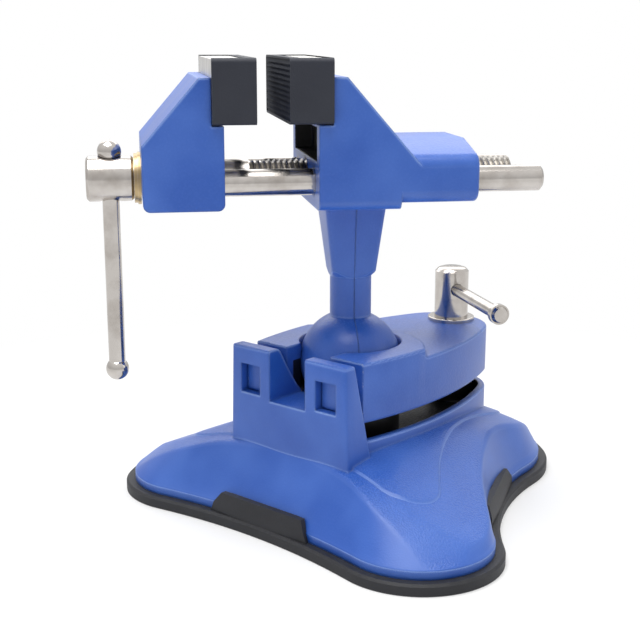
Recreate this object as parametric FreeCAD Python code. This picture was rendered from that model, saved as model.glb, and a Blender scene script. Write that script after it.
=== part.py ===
import FreeCAD, Part
import math
import os

# Suction base vise: a screw-and-rod vise on a ball joint, over a three-lobed
# suction base.  Millimetres, +Z up, origin on the table under the ball, +X along
# the lead screw from the moving jaw to the fixed jaw.  Parts of the base are drawn
# along their own +X, which runs from the prongs to the clamp screw, and are then
# turned by clamp_bearing.

Vec = FreeCAD.Vector
UP = Vec(0, 0, 1)

# ---- clearances ---------------------------------------------------------------
running_gap = 0.05
loose_gap = 0.3
seat_gap = 0.2

# ---- base: rubber pad, casting -------------------------------------------------
clamp_bearing = 39.7
front_lobe_u = -27.3
front_lobe_v = 52.9
front_lobe_r = 30.0
rear_lobe_u = 55.4
rear_lobe_r = 46.4
front_waist_r = 230.0
side_waist_r = 110.0
pad_thick = 4.0
pad_margin = 3.5
band_height = 3.6
casting_lip = 0.5
side_slope = 0.88
dome_centre_u = 7.5
dome_profile = ((0.0, 30.6), (49.0, 29.2), (86.0, 11.8), (112.0, -13.0))
dome_shoulder_r = 70.0
dome_edge_r = 60.0
casting_wall = 4.0
tip_room = 3.0
edge_round = 2.4
tier_rise = 0.7
tier_inset = 0.84
tier_lobe_r = 12.0
tier_rear_r = 27.0
tab_length = 47.0
tab_thick = 2.4
tab_height = 9.5
tab_slant = 4.0

# ---- ball joint -----------------------------------------------------------------
ball_r = 19.0
ball_z = 55.0
stem_r = 7.65
socket_top = 42.0
seat_thick = 2.4
seat_rim_r = 12.5

# ---- clamp: pedestal, prongs, plate, screw -------------------------------------------
pedestal_top = 34.0
plate_bottom = 41.0
plate_top = 62.5
plate_step = 3.4
plate_front_u = -23.5
plate_wide_u = 8.0
plate_half = 28.9
plate_side_r = 150.0
plate_tip_r = 20.0
step_u = 24.0
step_r = 34.0
block_front_u = -35.0
block_top = 63.4
block_half_top = 25.0
block_draft = 0.085
prong_top_thick = 5.4
prong_back_slope = 0.22
slot_half = 8.6
slot_floor = 44.8
window_in = 13.4
window_out = 22.8
window_low = 46.0
window_high = 56.8
tongue_recess = 3.2
screw_u = 65.0
post_r = 6.85
post_top = 81.2
post_dome = 2.8
washer_r = 9.5
washer_thick = 1.5
shank_r = 4.4
shank_end = 6.5
clamp_bar_z = 72.5
clamp_bar_r = 2.55
clamp_bar_bearing = -85.2
clamp_bar_reach = 52.0
clamp_cap_r = 3.85
clamp_cap_length = 3.6
thread_play = 0.7

# ---- suction lift -----------------------------------------------------------------
lever_z = 15.0
lever_thick = 6.0
lever_half = 8.5
lever_pin_u = -26.0
lever_pin_r = 2.5
stud_r = 4.5
stud_pin_r = 2.0
disc_r = 30.0
disc_thick = 3.2
nut_r = 6.6

# ---- head: fixed jaw with neck ---------------------------------------------------
axis_z = 124.4
jaw_half = 32.5
body_front_x = -16.7
body_bottom = 115.6
body_back_x = 11.6
jaw_top = 160.0
crest_x = -7.2
slope_angle = 49.0
boss_end_x = 38.7
boss_bottom = 117.6
boss_side_top = 133.4
boss_crest = 138.2
boss_crest_half = 12.5
boss_round = 4.5
body_round = 3.4
corner_round = 1.2
neck_top_half = 11.3
neck_foot_half = 8.3
neck_foot_z = 91.0
stem_top_z = 87.4
neck_round = 2.0

# ---- moving jaw -------------------------------------------------------------------
slider_back_x = -75.3
slider_face_x = -48.3
slider_bottom = 116.5
slider_shoulder = 138.1

# ---- jaw plates and covers -----------------------------------------------------------
jaw_opening = 10.9
cover_half = 35.0
cover_rise = 6.3
cover_height = 21.5
cover_top = jaw_top + cover_rise
cover_bottom = cover_top - cover_height
cover_depth = 14.6
cover_wall = 1.6
cover_face = 3.6
cover_round = 1.6
jaw_screw_pitch = 40.0
jaw_screw_r = 2.5
jaw_screw_head_r = 4.8
jaw_screw_head = 2.8
jaw_screw_grip = 4.4

# ---- lead screw, rods, handle ----------------------------------------------------------
lead_r = 6.0
lead_end_x = 59.6
lead_tip = 3.6
head_r = 8.0
head_length = 16.5
thrust_washer = 1.2
thrust_washer_r = 9.2
clip_r = 8.3
clip_thick = 1.2
clip_inset = 0.5
rod_r = 4.6
rod_y = 20.0
rod_end_x = 64.5
rod_start_x = -70.0
rod_chamfer = 0.9
rod_pin_r = 1.5
handle_r = 3.0
handle_ball_r = 4.2
handle_rise = 9.4
handle_span = 78.6

fixed_face_x = body_front_x - 10.0
moving_face_x = fixed_face_x - jaw_opening


# ---- helpers --------------------------------------------------------------------------
def cylinder(radius, start, end):
    """Round bar between two points."""
    run = end.sub(start)
    return Part.makeCylinder(radius, run.Length, start, run)


def block(low, high):
    """Box between two corners."""
    size = Vec(*high).sub(Vec(*low))
    return Part.makeBox(size.x, size.y, size.z, Vec(*low))


def prism(points, run):
    """Polygon face pushed along a vector."""
    corners = [Vec(*p) for p in points]
    return Part.Face(Part.makePolygon(corners + corners[:1])).extrude(run)


def turned(outline, centre):
    """Solid of revolution about a vertical line from (radius, height) points."""
    corners = [Vec(centre.x + r, centre.y, z) for r, z in outline]
    face = Part.Face(Part.makePolygon(corners + corners[:1]))
    return face.revolve(centre, UP, 360)


def rounded(shape, radius, chosen):
    """Fillet the edges that the test picks."""
    edges = [edge for edge in shape.Edges if chosen(edge)]
    return shape.makeFillet(radius, edges)


def runs_along(edge, axis):
    """True for a straight edge that lies along an axis."""
    if edge.Curve.TypeId != "Part::GeomLine":
        return False
    return abs(edge.tangentAt(edge.FirstParameter).dot(axis)) > 0.999


def to_bearing(shape):
    """Turn a part of the base from its own frame into the vise's frame."""
    shape.rotate(Vec(0, 0, 0), UP, clamp_bearing)
    return shape


def save(shape, name):
    """Write one sub-part."""
    shape.exportStep("parts/" + name + ".step")


# ---- outline of the base -----------------------------------------------------------------
def beside(a, b, reach_a, reach_b, side):
    """Point at the given distances from two centres, on one side of their line."""
    span = b.sub(a)
    along = (span.Length ** 2 + reach_a ** 2 - reach_b ** 2) / (2 * span.Length)
    across = math.sqrt(reach_a ** 2 - along ** 2)
    unit = Vec(span).normalize()
    return a.add(unit * along).add(Vec(-unit.y, unit.x, 0) * side * across)


def toward(a, b, distance):
    """Point at a distance from a, on the way to b."""
    return a.add(b.sub(a).normalize() * distance)


def halfway_round(centre, start, end):
    """Middle of the anticlockwise arc from start to end about a centre."""
    arm = start.sub(centre)
    first = math.atan2(arm.y, arm.x)
    last = math.atan2(end.y - centre.y, end.x - centre.x)
    if last < first:
        last += 2 * math.pi
    middle = (first + last) / 2
    return centre.add(Vec(math.cos(middle), math.sin(middle), 0) * arm.Length)


def lobed_wire(front, front_r, rear, rear_r, waists, grow, z):
    """Three convex lobes joined by three hollow waists, grown outwards by grow."""
    left = Vec(front[0], front[1], 0)
    right = Vec(front[0], -front[1], 0)
    tail = Vec(rear, 0, 0)
    front_waist, side_waist = waists
    lobes = [(right, front_r), (tail, rear_r), (left, front_r)]
    hollows = []
    for index, waist_r in enumerate((side_waist, side_waist, front_waist)):
        a, a_r = lobes[index]
        b, b_r = lobes[(index + 1) % 3]
        hollows.append((beside(a, b, a_r + waist_r, b_r + waist_r, -1), waist_r))
    edges = []
    for index in range(3):
        lobe, lobe_r = lobes[index]
        before = hollows[index - 1]
        after = hollows[index]
        start = toward(lobe, before[0], lobe_r + grow)
        end = toward(lobe, after[0], lobe_r + grow)
        crown = halfway_round(lobe, start, end)
        edges.append(Part.Arc(start, crown, end).toShape())
        following, following_r = lobes[(index + 1) % 3]
        far = toward(following, after[0], following_r + grow)
        dip = toward(after[0], end.add(far) * 0.5, after[1] - grow)
        edges.append(Part.Arc(end, dip, far).toShape())
    wire = Part.Wire(edges)
    wire.translate(Vec(0, 0, z))
    return wire


def base_wire(grow, z):
    """Outline of the rubber pad, grown by grow."""
    return lobed_wire((front_lobe_u, front_lobe_v), front_lobe_r, rear_lobe_u, rear_lobe_r,
                      (front_waist_r, side_waist_r), grow, z)


def base_slab(grow, low, high):
    """The base's outline as a flat slab."""
    return Part.Face(base_wire(grow, low)).extrude(Vec(0, 0, high - low))


def base_taper(grow, low, high):
    """The base's outline drawn in by side_slope from low to high."""
    top = grow - side_slope * (high - low)
    return Part.makeLoft([base_wire(grow, low), base_wire(top, high)], True, True)


def dome(lift):
    """Crowned upper surface of the base, as a solid below it."""
    reach, low = dome_profile[-1]
    floor = low - 10
    outline = [(r, z + lift) for r, z in dome_profile] + [(reach, floor), (0, floor)]
    body = turned(outline, Vec(dome_centre_u, 0, 0))
    for radius, ring in ((dome_shoulder_r, dome_profile[1][0]), (dome_edge_r, dome_profile[2][0])):
        body = rounded(body, radius, lambda e: e.Curve.TypeId == "Part::GeomCircle"
                       and abs(e.Curve.Radius - ring) < 0.01)
    return body


# ---- outline of the clamp plate --------------------------------------------------------
def plate_face(grow, z):
    """Egg-shaped outline shared by the clamp plate and the pedestal."""
    side_centre_v = plate_side_r - plate_half
    tip_run = math.sqrt((plate_side_r - plate_tip_r) ** 2 - side_centre_v ** 2)
    tip_centre = Vec(plate_wide_u + tip_run, 0, 0)
    low_centre = Vec(plate_wide_u, side_centre_v, 0)
    radius = plate_side_r + grow
    front_u = plate_front_u - grow
    drop = radius - math.sqrt(radius ** 2 - (plate_wide_u - front_u) ** 2)
    front_half = plate_half + grow - drop
    meet = tip_centre.add(tip_centre.sub(low_centre).normalize() * (plate_tip_r + grow))
    mid_u = (front_u + meet.x) / 2
    mid_v = side_centre_v - math.sqrt(radius ** 2 - (mid_u - plate_wide_u) ** 2)
    nose = tip_centre.add(Vec(plate_tip_r + grow, 0, 0))
    front_low = Vec(front_u, -front_half, 0)
    front_high = Vec(front_u, front_half, 0)
    meet_high = Vec(meet.x, -meet.y, 0)
    edges = [
        Part.Arc(front_low, Vec(mid_u, mid_v, 0), meet).toShape(),
        Part.Arc(meet, nose, meet_high).toShape(),
        Part.Arc(meet_high, Vec(mid_u, -mid_v, 0), front_high).toShape(),
        Part.makeLine(front_high, front_low),
    ]
    wire = Part.Wire(edges)
    wire.translate(Vec(0, 0, z))
    return Part.Face(wire)


def ball_centre():
    return Vec(0, 0, ball_z)


# ---- base casting ------------------------------------------------------------------------
def prong_block():
    """Upright block at the front that ends in two windowed prongs."""
    foot = pedestal_top - casting_wall * 3
    height = block_top - foot
    half_foot = block_half_top + block_draft * height
    back_top = block_front_u + prong_top_thick
    back_foot = back_top + prong_back_slope * height
    lower = [(block_front_u, -half_foot), (back_foot, -half_foot),
             (back_foot, half_foot), (block_front_u, half_foot)]
    upper = [(block_front_u, -block_half_top), (back_top, -block_half_top),
             (back_top, block_half_top), (block_front_u, block_half_top)]
    wires = []
    for corners, z in ((lower, foot), (upper, block_top)):
        points = [Vec(u, v, z) for u, v in corners]
        wires.append(Part.makePolygon(points + points[:1]))
    body = Part.makeLoft(wires, True, True)
    body = rounded(body, edge_round * 0.6, lambda e: e.CenterOfMass.z > foot + 1)
    reach = block_front_u - 5
    body = body.cut(block((reach, -slot_half, slot_floor), (back_foot + 5, slot_half, block_top + 5)))
    for side in (-1, 1):
        near, far = sorted((side * window_in, side * window_out))
        body = body.cut(block((reach, near, window_low), (back_foot + 5, far, window_high)))
    return body


def underside():
    """Hollow below the casting, one wall inside its skin."""
    grow = -pad_margin - casting_wall
    inner_top = pad_thick + (front_lobe_r + grow - tip_room) / side_slope
    inner = base_taper(grow, pad_thick, inner_top)
    lever_room = plate_face(-casting_wall / 2, pad_thick)
    lever_room = lever_room.extrude(Vec(0, 0, pedestal_top - casting_wall * 1.5 - pad_thick))
    return inner.common(dome(-casting_wall).fuse(lever_room))


def make_base_housing():
    band_top = pad_thick + band_height
    reach = pedestal_top
    skirt = base_slab(-pad_margin, pad_thick, band_top)
    cone = base_taper(-pad_margin - casting_lip, band_top, reach)
    shell = cone.common(dome(0))
    tier_front = (front_lobe_u * tier_inset, front_lobe_v * tier_inset)
    tier = Part.Face(lobed_wire(tier_front, tier_lobe_r, rear_lobe_u, tier_rear_r,
                                (front_waist_r, side_waist_r), 0, band_top))
    tier = tier.extrude(Vec(0, 0, reach)).common(dome(tier_rise)).common(cone)
    body = skirt.fuse([shell, tier])
    pedestal = plate_face(0, band_top + casting_wall).extrude(Vec(0, 0, pedestal_top - band_top - casting_wall))
    pedestal = rounded(pedestal, edge_round * 0.3, lambda e: e.CenterOfMass.z > pedestal_top - 0.01)
    boss_r = ball_r - loose_gap
    boss = cylinder(boss_r, Vec(0, 0, band_top + casting_wall), Vec(0, 0, socket_top - loose_gap))
    body = body.fuse([pedestal, prong_block(), boss])
    body = body.cut(underside())
    # spherical pocket for the ball's seat
    body = body.cut(Part.makeSphere(ball_r + seat_thick + loose_gap, ball_centre()))
    # way through for the clamp screw
    way = Vec(screw_u, 0, 0)
    body = body.cut(cylinder(shank_r + thread_play, way, way.add(UP * (pedestal_top + 5))))
    # lugs that hold the lever's pin
    lug_low = lever_z - lever_pin_r - casting_wall
    for side in (-1, 1):
        near, far = sorted((side * (lever_half + loose_gap), side * (lever_half + loose_gap + casting_wall)))
        lug = block((lever_pin_u - casting_wall - lever_pin_r, near, lug_low),
                    (lever_pin_u + casting_wall + lever_pin_r, far, dome_profile[1][1] - casting_wall / 2))
        body = body.fuse(lug)
    pin_half = lever_half + loose_gap + casting_wall
    pin_bore = cylinder(lever_pin_r + running_gap, Vec(lever_pin_u, -pin_half - 1, lever_z),
                        Vec(lever_pin_u, pin_half + 1, lever_z))
    return body.cut(pin_bore).removeSplitter()


def side_centres():
    """Middle of each waist on the casting's band: point, outward direction."""
    left = Vec(front_lobe_u, front_lobe_v, 0)
    right = Vec(front_lobe_u, -front_lobe_v, 0)
    tail = Vec(rear_lobe_u, 0, 0)
    centres = []
    for a, a_r, b, b_r, waist_r in ((left, front_lobe_r, right, front_lobe_r, front_waist_r),
                                    (right, front_lobe_r, tail, rear_lobe_r, side_waist_r),
                                    (tail, rear_lobe_r, left, front_lobe_r, side_waist_r)):
        hollow = beside(a, b, a_r + waist_r, b_r + waist_r, -1)
        joint_a = toward(a, hollow, a_r)
        joint_b = toward(b, hollow, b_r)
        middle = toward(hollow, joint_a.add(joint_b) * 0.5, waist_r)
        centres.append((middle, hollow.sub(middle).normalize()))
    return centres


def pad_tab(middle, outward):
    """Ear of the pad that leans against the casting's side."""
    along = Vec(-outward.y, outward.x, 0)
    foot = middle.sub(outward * (pad_margin - loose_gap))
    band_top = pad_thick + band_height
    lean = side_slope * (tab_height - band_height)
    half = tab_length / 2
    root = pad_thick / 2
    section = [foot.add(Vec(0, 0, root)),
               foot.add(outward * tab_thick).add(Vec(0, 0, root)),
               foot.add(outward * tab_thick).add(Vec(0, 0, band_top)),
               foot.add(outward * (tab_thick - lean)).add(Vec(0, 0, pad_thick + tab_height)),
               foot.sub(outward * lean).add(Vec(0, 0, pad_thick + tab_height)),
               foot.add(Vec(0, 0, band_top))]
    wire = Part.makePolygon(section + section[:1])
    wire.translate(along * -half)
    ear = Part.Face(wire).extrude(along * tab_length)
    for end in (-1, 1):
        tip = foot.add(along * end * half)
        wedge = [tip.add(along * end * 0.01), tip.add(along * end * 30), tip.add(along * end * 30).add(UP * 30),
                 tip.sub(along * end * tab_slant * 30 / tab_height).add(UP * 30)]
        wedge = [point.sub(outward * 30).add(UP * pad_thick) for point in wedge]
        cutter = Part.Face(Part.makePolygon(wedge + wedge[:1])).extrude(outward * 60)
        ear = ear.cut(cutter)
    return ear


def make_suction_pad():
    bevel = pad_thick * 0.2
    pad = base_slab(0, 0, pad_thick - bevel)
    rim = Part.makeLoft([base_wire(0, pad_thick - bevel), base_wire(-bevel, pad_thick)], True, True)
    pad = pad.fuse(rim)
    opening = cylinder(disc_r + loose_gap, Vec(0, 0, -1), Vec(0, 0, pad_thick + 1))
    pad = pad.cut(opening)
    band_top = pad_thick + band_height
    band = base_slab(loose_gap - pad_margin, pad_thick, band_top)
    slope = base_taper(loose_gap - pad_margin - casting_lip, band_top, band_top + tab_height)
    for middle, outward in side_centres():
        ear = pad_tab(middle, outward).cut(band).cut(slope)
        pad = pad.fuse(ear)
    return pad


# ---- ball seat ------------------------------------------------------------------------------
def make_ball_seat():
    shell = Part.makeSphere(ball_r + seat_thick, ball_centre())
    shell = shell.cut(Part.makeSphere(ball_r + loose_gap, ball_centre()))
    low = ball_z - ball_r - seat_thick - 1
    shell = shell.common(cylinder(ball_r * 2, Vec(0, 0, low), Vec(0, 0, socket_top - 2 * loose_gap)))
    return shell.cut(cylinder(seat_rim_r / 2, Vec(0, 0, low), ball_centre()))


# ---- clamp plate, screw, bar --------------------------------------------------------------------
def make_clamp_plate():
    body = plate_face(0, plate_bottom).extrude(Vec(0, 0, plate_top - plate_bottom))
    # the raised front field ends in a bow behind the ball
    lowered = block((plate_front_u - 5, -plate_half * 2, plate_top - plate_step),
                    (screw_u + plate_tip_r * 2, plate_half * 2, plate_top + 5))
    field = cylinder(step_r, Vec(step_u - step_r, 0, 0), Vec(step_u - step_r, 0, plate_top + 10))
    fan = block((plate_front_u - 10, -plate_half * 2, 0), (step_u - step_r, plate_half * 2, plate_top + 10))
    body = body.cut(lowered.cut(field).cut(fan))
    body = rounded(body, 0.9, lambda e: e.CenterOfMass.z > plate_top - plate_step - 0.01
                   and abs(e.CenterOfMass.x - plate_front_u) > 0.5 and e.Length > 10)
    # bore: spherical grip on the ball, straight below its middle
    grip_r = ball_r + loose_gap
    mouth_z = ball_z + 5.5
    throat_r = math.sqrt(grip_r ** 2 - (mouth_z - ball_z) ** 2)
    sphere = Part.makeSphere(grip_r, ball_centre())
    sphere = sphere.common(cylinder(grip_r * 2, Vec(0, 0, plate_bottom - 1), Vec(0, 0, mouth_z)))
    straight = cylinder(grip_r, Vec(0, 0, plate_bottom - 1), ball_centre())
    mouth = Part.makeCone(throat_r, grip_r, plate_top - mouth_z, Vec(0, 0, mouth_z), UP)
    lip = cylinder(grip_r, Vec(0, 0, plate_top), Vec(0, 0, plate_top + 1))
    body = body.cut(sphere.fuse([straight, mouth, lip]))
    # slot for the neck, way for the screw
    body = body.cut(block((plate_front_u - 5, -slot_half, plate_bottom - 1), (0, slot_half, plate_top + 1)))
    way = Vec(screw_u, 0, 0)
    body = body.cut(cylinder(shank_r + loose_gap, way, way.add(UP * (plate_top + 5))))
    # tongues that hook into the prongs' windows
    for side in (-1, 1):
        near, far = sorted((side * (window_in + seat_gap * 2), side * (window_out - seat_gap * 2)))
        tongue = block((block_front_u + tongue_recess, near, window_low + seat_gap * 2),
                       (plate_front_u + 1, far, window_high - seat_gap * 2))
        body = body.fuse(tongue)
    return body.removeSplitter()


def clamp_bar_direction():
    """Direction of the clamp bar, in the base's own frame."""
    angle = math.radians(clamp_bar_bearing - clamp_bearing)
    return Vec(math.cos(angle), math.sin(angle), 0)


def clamp_axis_point(z):
    return Vec(screw_u, 0, z)


def washer_seat():
    return plate_top - plate_step


def make_clamp_screw():
    foot = washer_seat() + washer_thick
    post = turned([(0, foot), (post_r, foot), (post_r, post_top - post_dome * 0.6),
                   (post_r - 1.2, post_top - post_dome * 0.15), (post_r - 2.6, post_top), (0, post_top)],
                  clamp_axis_point(0))
    shank = cylinder(shank_r, clamp_axis_point(shank_end), clamp_axis_point(foot + 1))
    shank = shank.makeChamfer(1.0, [e for e in shank.Edges if e.CenterOfMass.z < shank_end + 0.01])
    body = post.fuse(shank)
    centre = clamp_axis_point(clamp_bar_z)
    run = clamp_bar_direction()
    cross = cylinder(clamp_bar_r + running_gap * 2, centre.sub(run * 20), centre.add(run * 20))
    return body.cut(cross).removeSplitter()


def make_clamp_washer():
    seat = washer_seat()
    ring = cylinder(washer_r, clamp_axis_point(seat), clamp_axis_point(seat + washer_thick))
    ring = rounded(ring, 0.4, lambda e: e.CenterOfMass.z > seat + washer_thick - 0.01)
    return ring.cut(cylinder(shank_r + running_gap, clamp_axis_point(seat - 1), clamp_axis_point(seat + 5)))


def make_clamp_bar():
    centre = clamp_axis_point(clamp_bar_z)
    run = clamp_bar_direction()
    back = post_r + loose_gap
    return cylinder(clamp_bar_r, centre.sub(run * (back + clamp_cap_length * 0.6)), centre.add(run * clamp_bar_reach))


def make_clamp_cap(far_side):
    """Collar with a chamfered button, pressed on the end of the clamp bar."""
    run = clamp_bar_direction()
    if far_side:
        start = clamp_axis_point(clamp_bar_z).sub(run * (post_r + loose_gap))
        run = run * -1
    else:
        start = clamp_axis_point(clamp_bar_z).add(run * (clamp_bar_reach - clamp_cap_length * 0.6))
    collar = cylinder(clamp_cap_r, start, start.add(run * clamp_cap_length * 0.6))
    button = Part.makeCone(clamp_cap_r * 0.86, clamp_cap_r * 0.66, clamp_cap_length * 0.4,
                           start.add(run * clamp_cap_length * 0.6), run)
    cap = collar.fuse(button)
    return cap.cut(cylinder(clamp_bar_r, start, start.add(run * clamp_cap_length * 0.6)))


# ---- suction lift ------------------------------------------------------------------------------
def make_lift_lever():
    back_u = screw_u + nut_r + 0.7
    front_u = lever_pin_u - 5
    bar = block((front_u, -lever_half, lever_z - lever_thick / 2), (back_u, lever_half, lever_z + lever_thick / 2))
    bar = rounded(bar, lever_half * 0.5, lambda e: runs_along(e, UP))
    eye = cylinder(lever_pin_r + running_gap, Vec(lever_pin_u, -lever_half - 1, lever_z),
                   Vec(lever_pin_u, lever_half + 1, lever_z))
    stud_way = cylinder(stud_r + thread_play, Vec(0, 0, 0), Vec(0, 0, pedestal_top))
    pin_way = cylinder(stud_pin_r + loose_gap, Vec(0, -lever_half - 1, lever_z), Vec(0, lever_half + 1, lever_z))
    bar = bar.cut(eye).cut(stud_way).cut(pin_way)
    nut_hole = cylinder(nut_r, Vec(screw_u, -nut_r, lever_z), Vec(screw_u, nut_r, lever_z))
    window = block((screw_u - nut_r + 0.5, -nut_r + 1, 0), (screw_u + nut_r - 0.5, nut_r - 1, pedestal_top))
    return bar.cut(window.fuse(nut_hole)).removeSplitter()


def make_lift_nut():
    """Cross barrel in the lever that the clamp screw threads into."""
    barrel = cylinder(nut_r - running_gap, Vec(screw_u, -nut_r + 1 + seat_gap, lever_z),
                      Vec(screw_u, nut_r - 1 - seat_gap, lever_z))
    barrel = barrel.common(block((screw_u - nut_r + 0.5 + seat_gap, -nut_r, lever_z - nut_r * 0.8),
                                 (screw_u + nut_r - 0.5 - seat_gap, nut_r, lever_z + nut_r * 0.8)))
    return barrel.cut(cylinder(shank_r + thread_play, clamp_axis_point(0), clamp_axis_point(pedestal_top)))


def make_lever_pin():
    half = lever_half + loose_gap + casting_wall
    return cylinder(lever_pin_r, Vec(lever_pin_u, -half, lever_z), Vec(lever_pin_u, half, lever_z))


def make_stud():
    top = lever_z + lever_thick / 2 + 1.5
    foot = disc_thick
    stem = cylinder(stud_r, Vec(0, 0, foot - disc_thick / 2), Vec(0, 0, top))
    flange = cylinder(disc_r * 0.6, Vec(0, 0, foot), Vec(0, 0, foot + 1.5))
    body = stem.fuse(flange)
    return body.cut(cylinder(stud_pin_r, Vec(0, -stud_r - 1, lever_z), Vec(0, stud_r + 1, lever_z)))


def make_stud_pin():
    return cylinder(stud_pin_r, Vec(0, -lever_half, lever_z), Vec(0, lever_half, lever_z))


def make_suction_disc():
    body = cylinder(disc_r, Vec(0, 0, 0), Vec(0, 0, disc_thick))
    body = rounded(body, disc_thick * 0.3, lambda e: e.CenterOfMass.z > disc_thick - 0.01)
    return body.cut(cylinder(stud_r, Vec(0, 0, disc_thick / 2), Vec(0, 0, pedestal_top)))


# ---- head: fixed jaw, neck and ball ------------------------------------------------------------
def along_y(points, half):
    """Profile in X and Z pushed across the vise's width."""
    return prism([(x, -half, z) for x, z in points], Vec(0, 2 * half, 0))


def make_neck():
    """Square neck that widens upwards, chamfered to a round stem with the ball below."""
    spread = (neck_top_half - neck_foot_half) / (body_bottom - neck_foot_z)
    top_z = body_bottom + 2
    wires = []
    for z in (stem_top_z, top_z):
        half = neck_foot_half + spread * (z - neck_foot_z)
        points = [Vec(-half, -half, z), Vec(half, -half, z), Vec(half, half, z), Vec(-half, half, z)]
        wires.append(Part.makePolygon(points + points[:1]))
    square = Part.makeLoft(wires, True, True)
    square = rounded(square, neck_round, lambda e: abs(e.tangentAt(e.FirstParameter).z) > 0.9)
    corner_reach = neck_foot_half * math.sqrt(2)
    cone = Part.makeCone(stem_r, corner_reach, neck_foot_z - stem_top_z, Vec(0, 0, stem_top_z), UP)
    above = cylinder(corner_reach * 2, Vec(0, 0, neck_foot_z), Vec(0, 0, top_z))
    neck = square.common(cone).fuse(square.common(above)).removeSplitter()
    stem = cylinder(stem_r, ball_centre(), Vec(0, 0, stem_top_z))
    return neck.fuse([stem, Part.makeSphere(ball_r, ball_centre())])


def jaw_screw_bores(face_x, direction, extra):
    """Bores for the two screws that hold a jaw plate, from its face inwards."""
    bores = []
    centre_z = (cover_bottom + cover_top) / 2
    for y in (-jaw_screw_pitch / 2, jaw_screw_pitch / 2):
        start = Vec(face_x, y, centre_z)
        bores.append(cylinder(jaw_screw_r + extra, start, start.add(direction * (plate_depth() + jaw_screw_grip))))
    return bores


def plate_depth():
    return cover_depth - cover_face


def rod_bores(radius, start_x, end_x):
    bores = []
    for y in (-rod_y, rod_y):
        bores.append(cylinder(radius, Vec(start_x, y, axis_z), Vec(end_x, y, axis_z)))
    return bores


def make_vise_body():
    rebate_x = fixed_face_x + cover_depth + seat_gap
    rebate_z = cover_bottom - seat_gap - 0.3
    fall = (jaw_top - boss_crest) / math.tan(math.radians(slope_angle))
    full_fall = (jaw_top - body_bottom) / math.tan(math.radians(slope_angle))
    profile = [(body_front_x, body_bottom), (body_front_x, rebate_z), (rebate_x, rebate_z),
               (rebate_x, jaw_top), (crest_x, jaw_top), (crest_x + full_fall, body_bottom)]
    jaw = along_y(profile, jaw_half)
    trim = block((body_back_x, -jaw_half - 1, body_bottom - 1),
                 (crest_x + full_fall + 1, jaw_half + 1, boss_bottom + boss_round))
    jaw = jaw.cut(trim)
    jaw = rounded(jaw, body_round, lambda e: runs_along(e, Vec(1, 0, 0)) and e.CenterOfMass.z < body_bottom + 0.01)
    section = [(-jaw_half, boss_bottom), (-jaw_half, boss_side_top), (-boss_crest_half, boss_crest),
               (boss_crest_half, boss_crest), (jaw_half, boss_side_top), (jaw_half, boss_bottom)]
    boss = prism([(body_front_x + 5, y, z) for y, z in section], Vec(boss_end_x - body_front_x - 5, 0, 0))
    boss = rounded(boss, boss_round, lambda e: runs_along(e, Vec(1, 0, 0))
                   and abs(e.CenterOfMass.y) > boss_crest_half + 1)
    boss = rounded(boss, corner_round, lambda e: e.CenterOfMass.x > boss_end_x - 0.01)
    body = jaw.fuse([boss, make_neck()])
    cuts = rod_bores(rod_r + running_gap, body_front_x - 1, boss_end_x + 1)
    cuts.append(cylinder(lead_r + running_gap, Vec(body_front_x - 1, 0, axis_z), Vec(boss_end_x + 1, 0, axis_z)))
    cuts += jaw_screw_bores(fixed_face_x + cover_face, Vec(1, 0, 0), 0)
    for cut in cuts:
        body = body.cut(cut)
    return body.removeSplitter()


def make_moving_jaw():
    rebate_x = moving_face_x - cover_depth - seat_gap
    rebate_z = cover_bottom - seat_gap - 0.3
    crest = slider_back_x + (jaw_top - slider_shoulder) / math.tan(math.radians(slope_angle))
    profile = [(slider_back_x, slider_bottom), (slider_back_x, slider_shoulder), (crest, jaw_top),
               (rebate_x, jaw_top), (rebate_x, rebate_z), (slider_face_x, rebate_z),
               (slider_face_x, slider_bottom)]
    body = along_y(profile, jaw_half)
    body = rounded(body, body_round * 0.7, lambda e: runs_along(e, Vec(0, 1, 0))
                   and e.CenterOfMass.z < slider_bottom + 0.01)
    cuts = rod_bores(rod_r, rod_start_x, slider_face_x + 1)
    cuts.append(cylinder(lead_r + running_gap, Vec(slider_back_x - 1, 0, axis_z), Vec(slider_face_x + 1, 0, axis_z)))
    cuts += jaw_screw_bores(moving_face_x - cover_face, Vec(-1, 0, 0), 0)
    for y in (-rod_y, rod_y):
        cuts.append(cylinder(rod_pin_r, Vec(rod_pin_x(), y, slider_bottom - 1), Vec(rod_pin_x(), y, axis_z + rod_r + 1)))
    for cut in cuts:
        body = body.cut(cut)
    return body.removeSplitter()


def rod_pin_x():
    return (rod_start_x + slider_face_x) / 2


def make_guide_rod(y):
    rod = cylinder(rod_r, Vec(rod_start_x, y, axis_z), Vec(rod_end_x, y, axis_z))
    rod = rod.makeChamfer(rod_chamfer, [e for e in rod.Edges if e.CenterOfMass.x > rod_end_x - 0.01])
    return rod.cut(cylinder(rod_pin_r, Vec(rod_pin_x(), y, axis_z - rod_r - 1), Vec(rod_pin_x(), y, axis_z + rod_r + 1)))


def make_rod_pins():
    pins = []
    for y in (-rod_y, rod_y):
        pins.append(cylinder(rod_pin_r, Vec(rod_pin_x(), y, slider_bottom), Vec(rod_pin_x(), y, axis_z + rod_r)))
    return Part.makeCompound(pins)


# ---- lead screw and handle -------------------------------------------------------------------
def head_end_x():
    return slider_back_x - 2 * thrust_washer - seat_gap


def handle_x():
    return head_end_x() - head_length / 2


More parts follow.
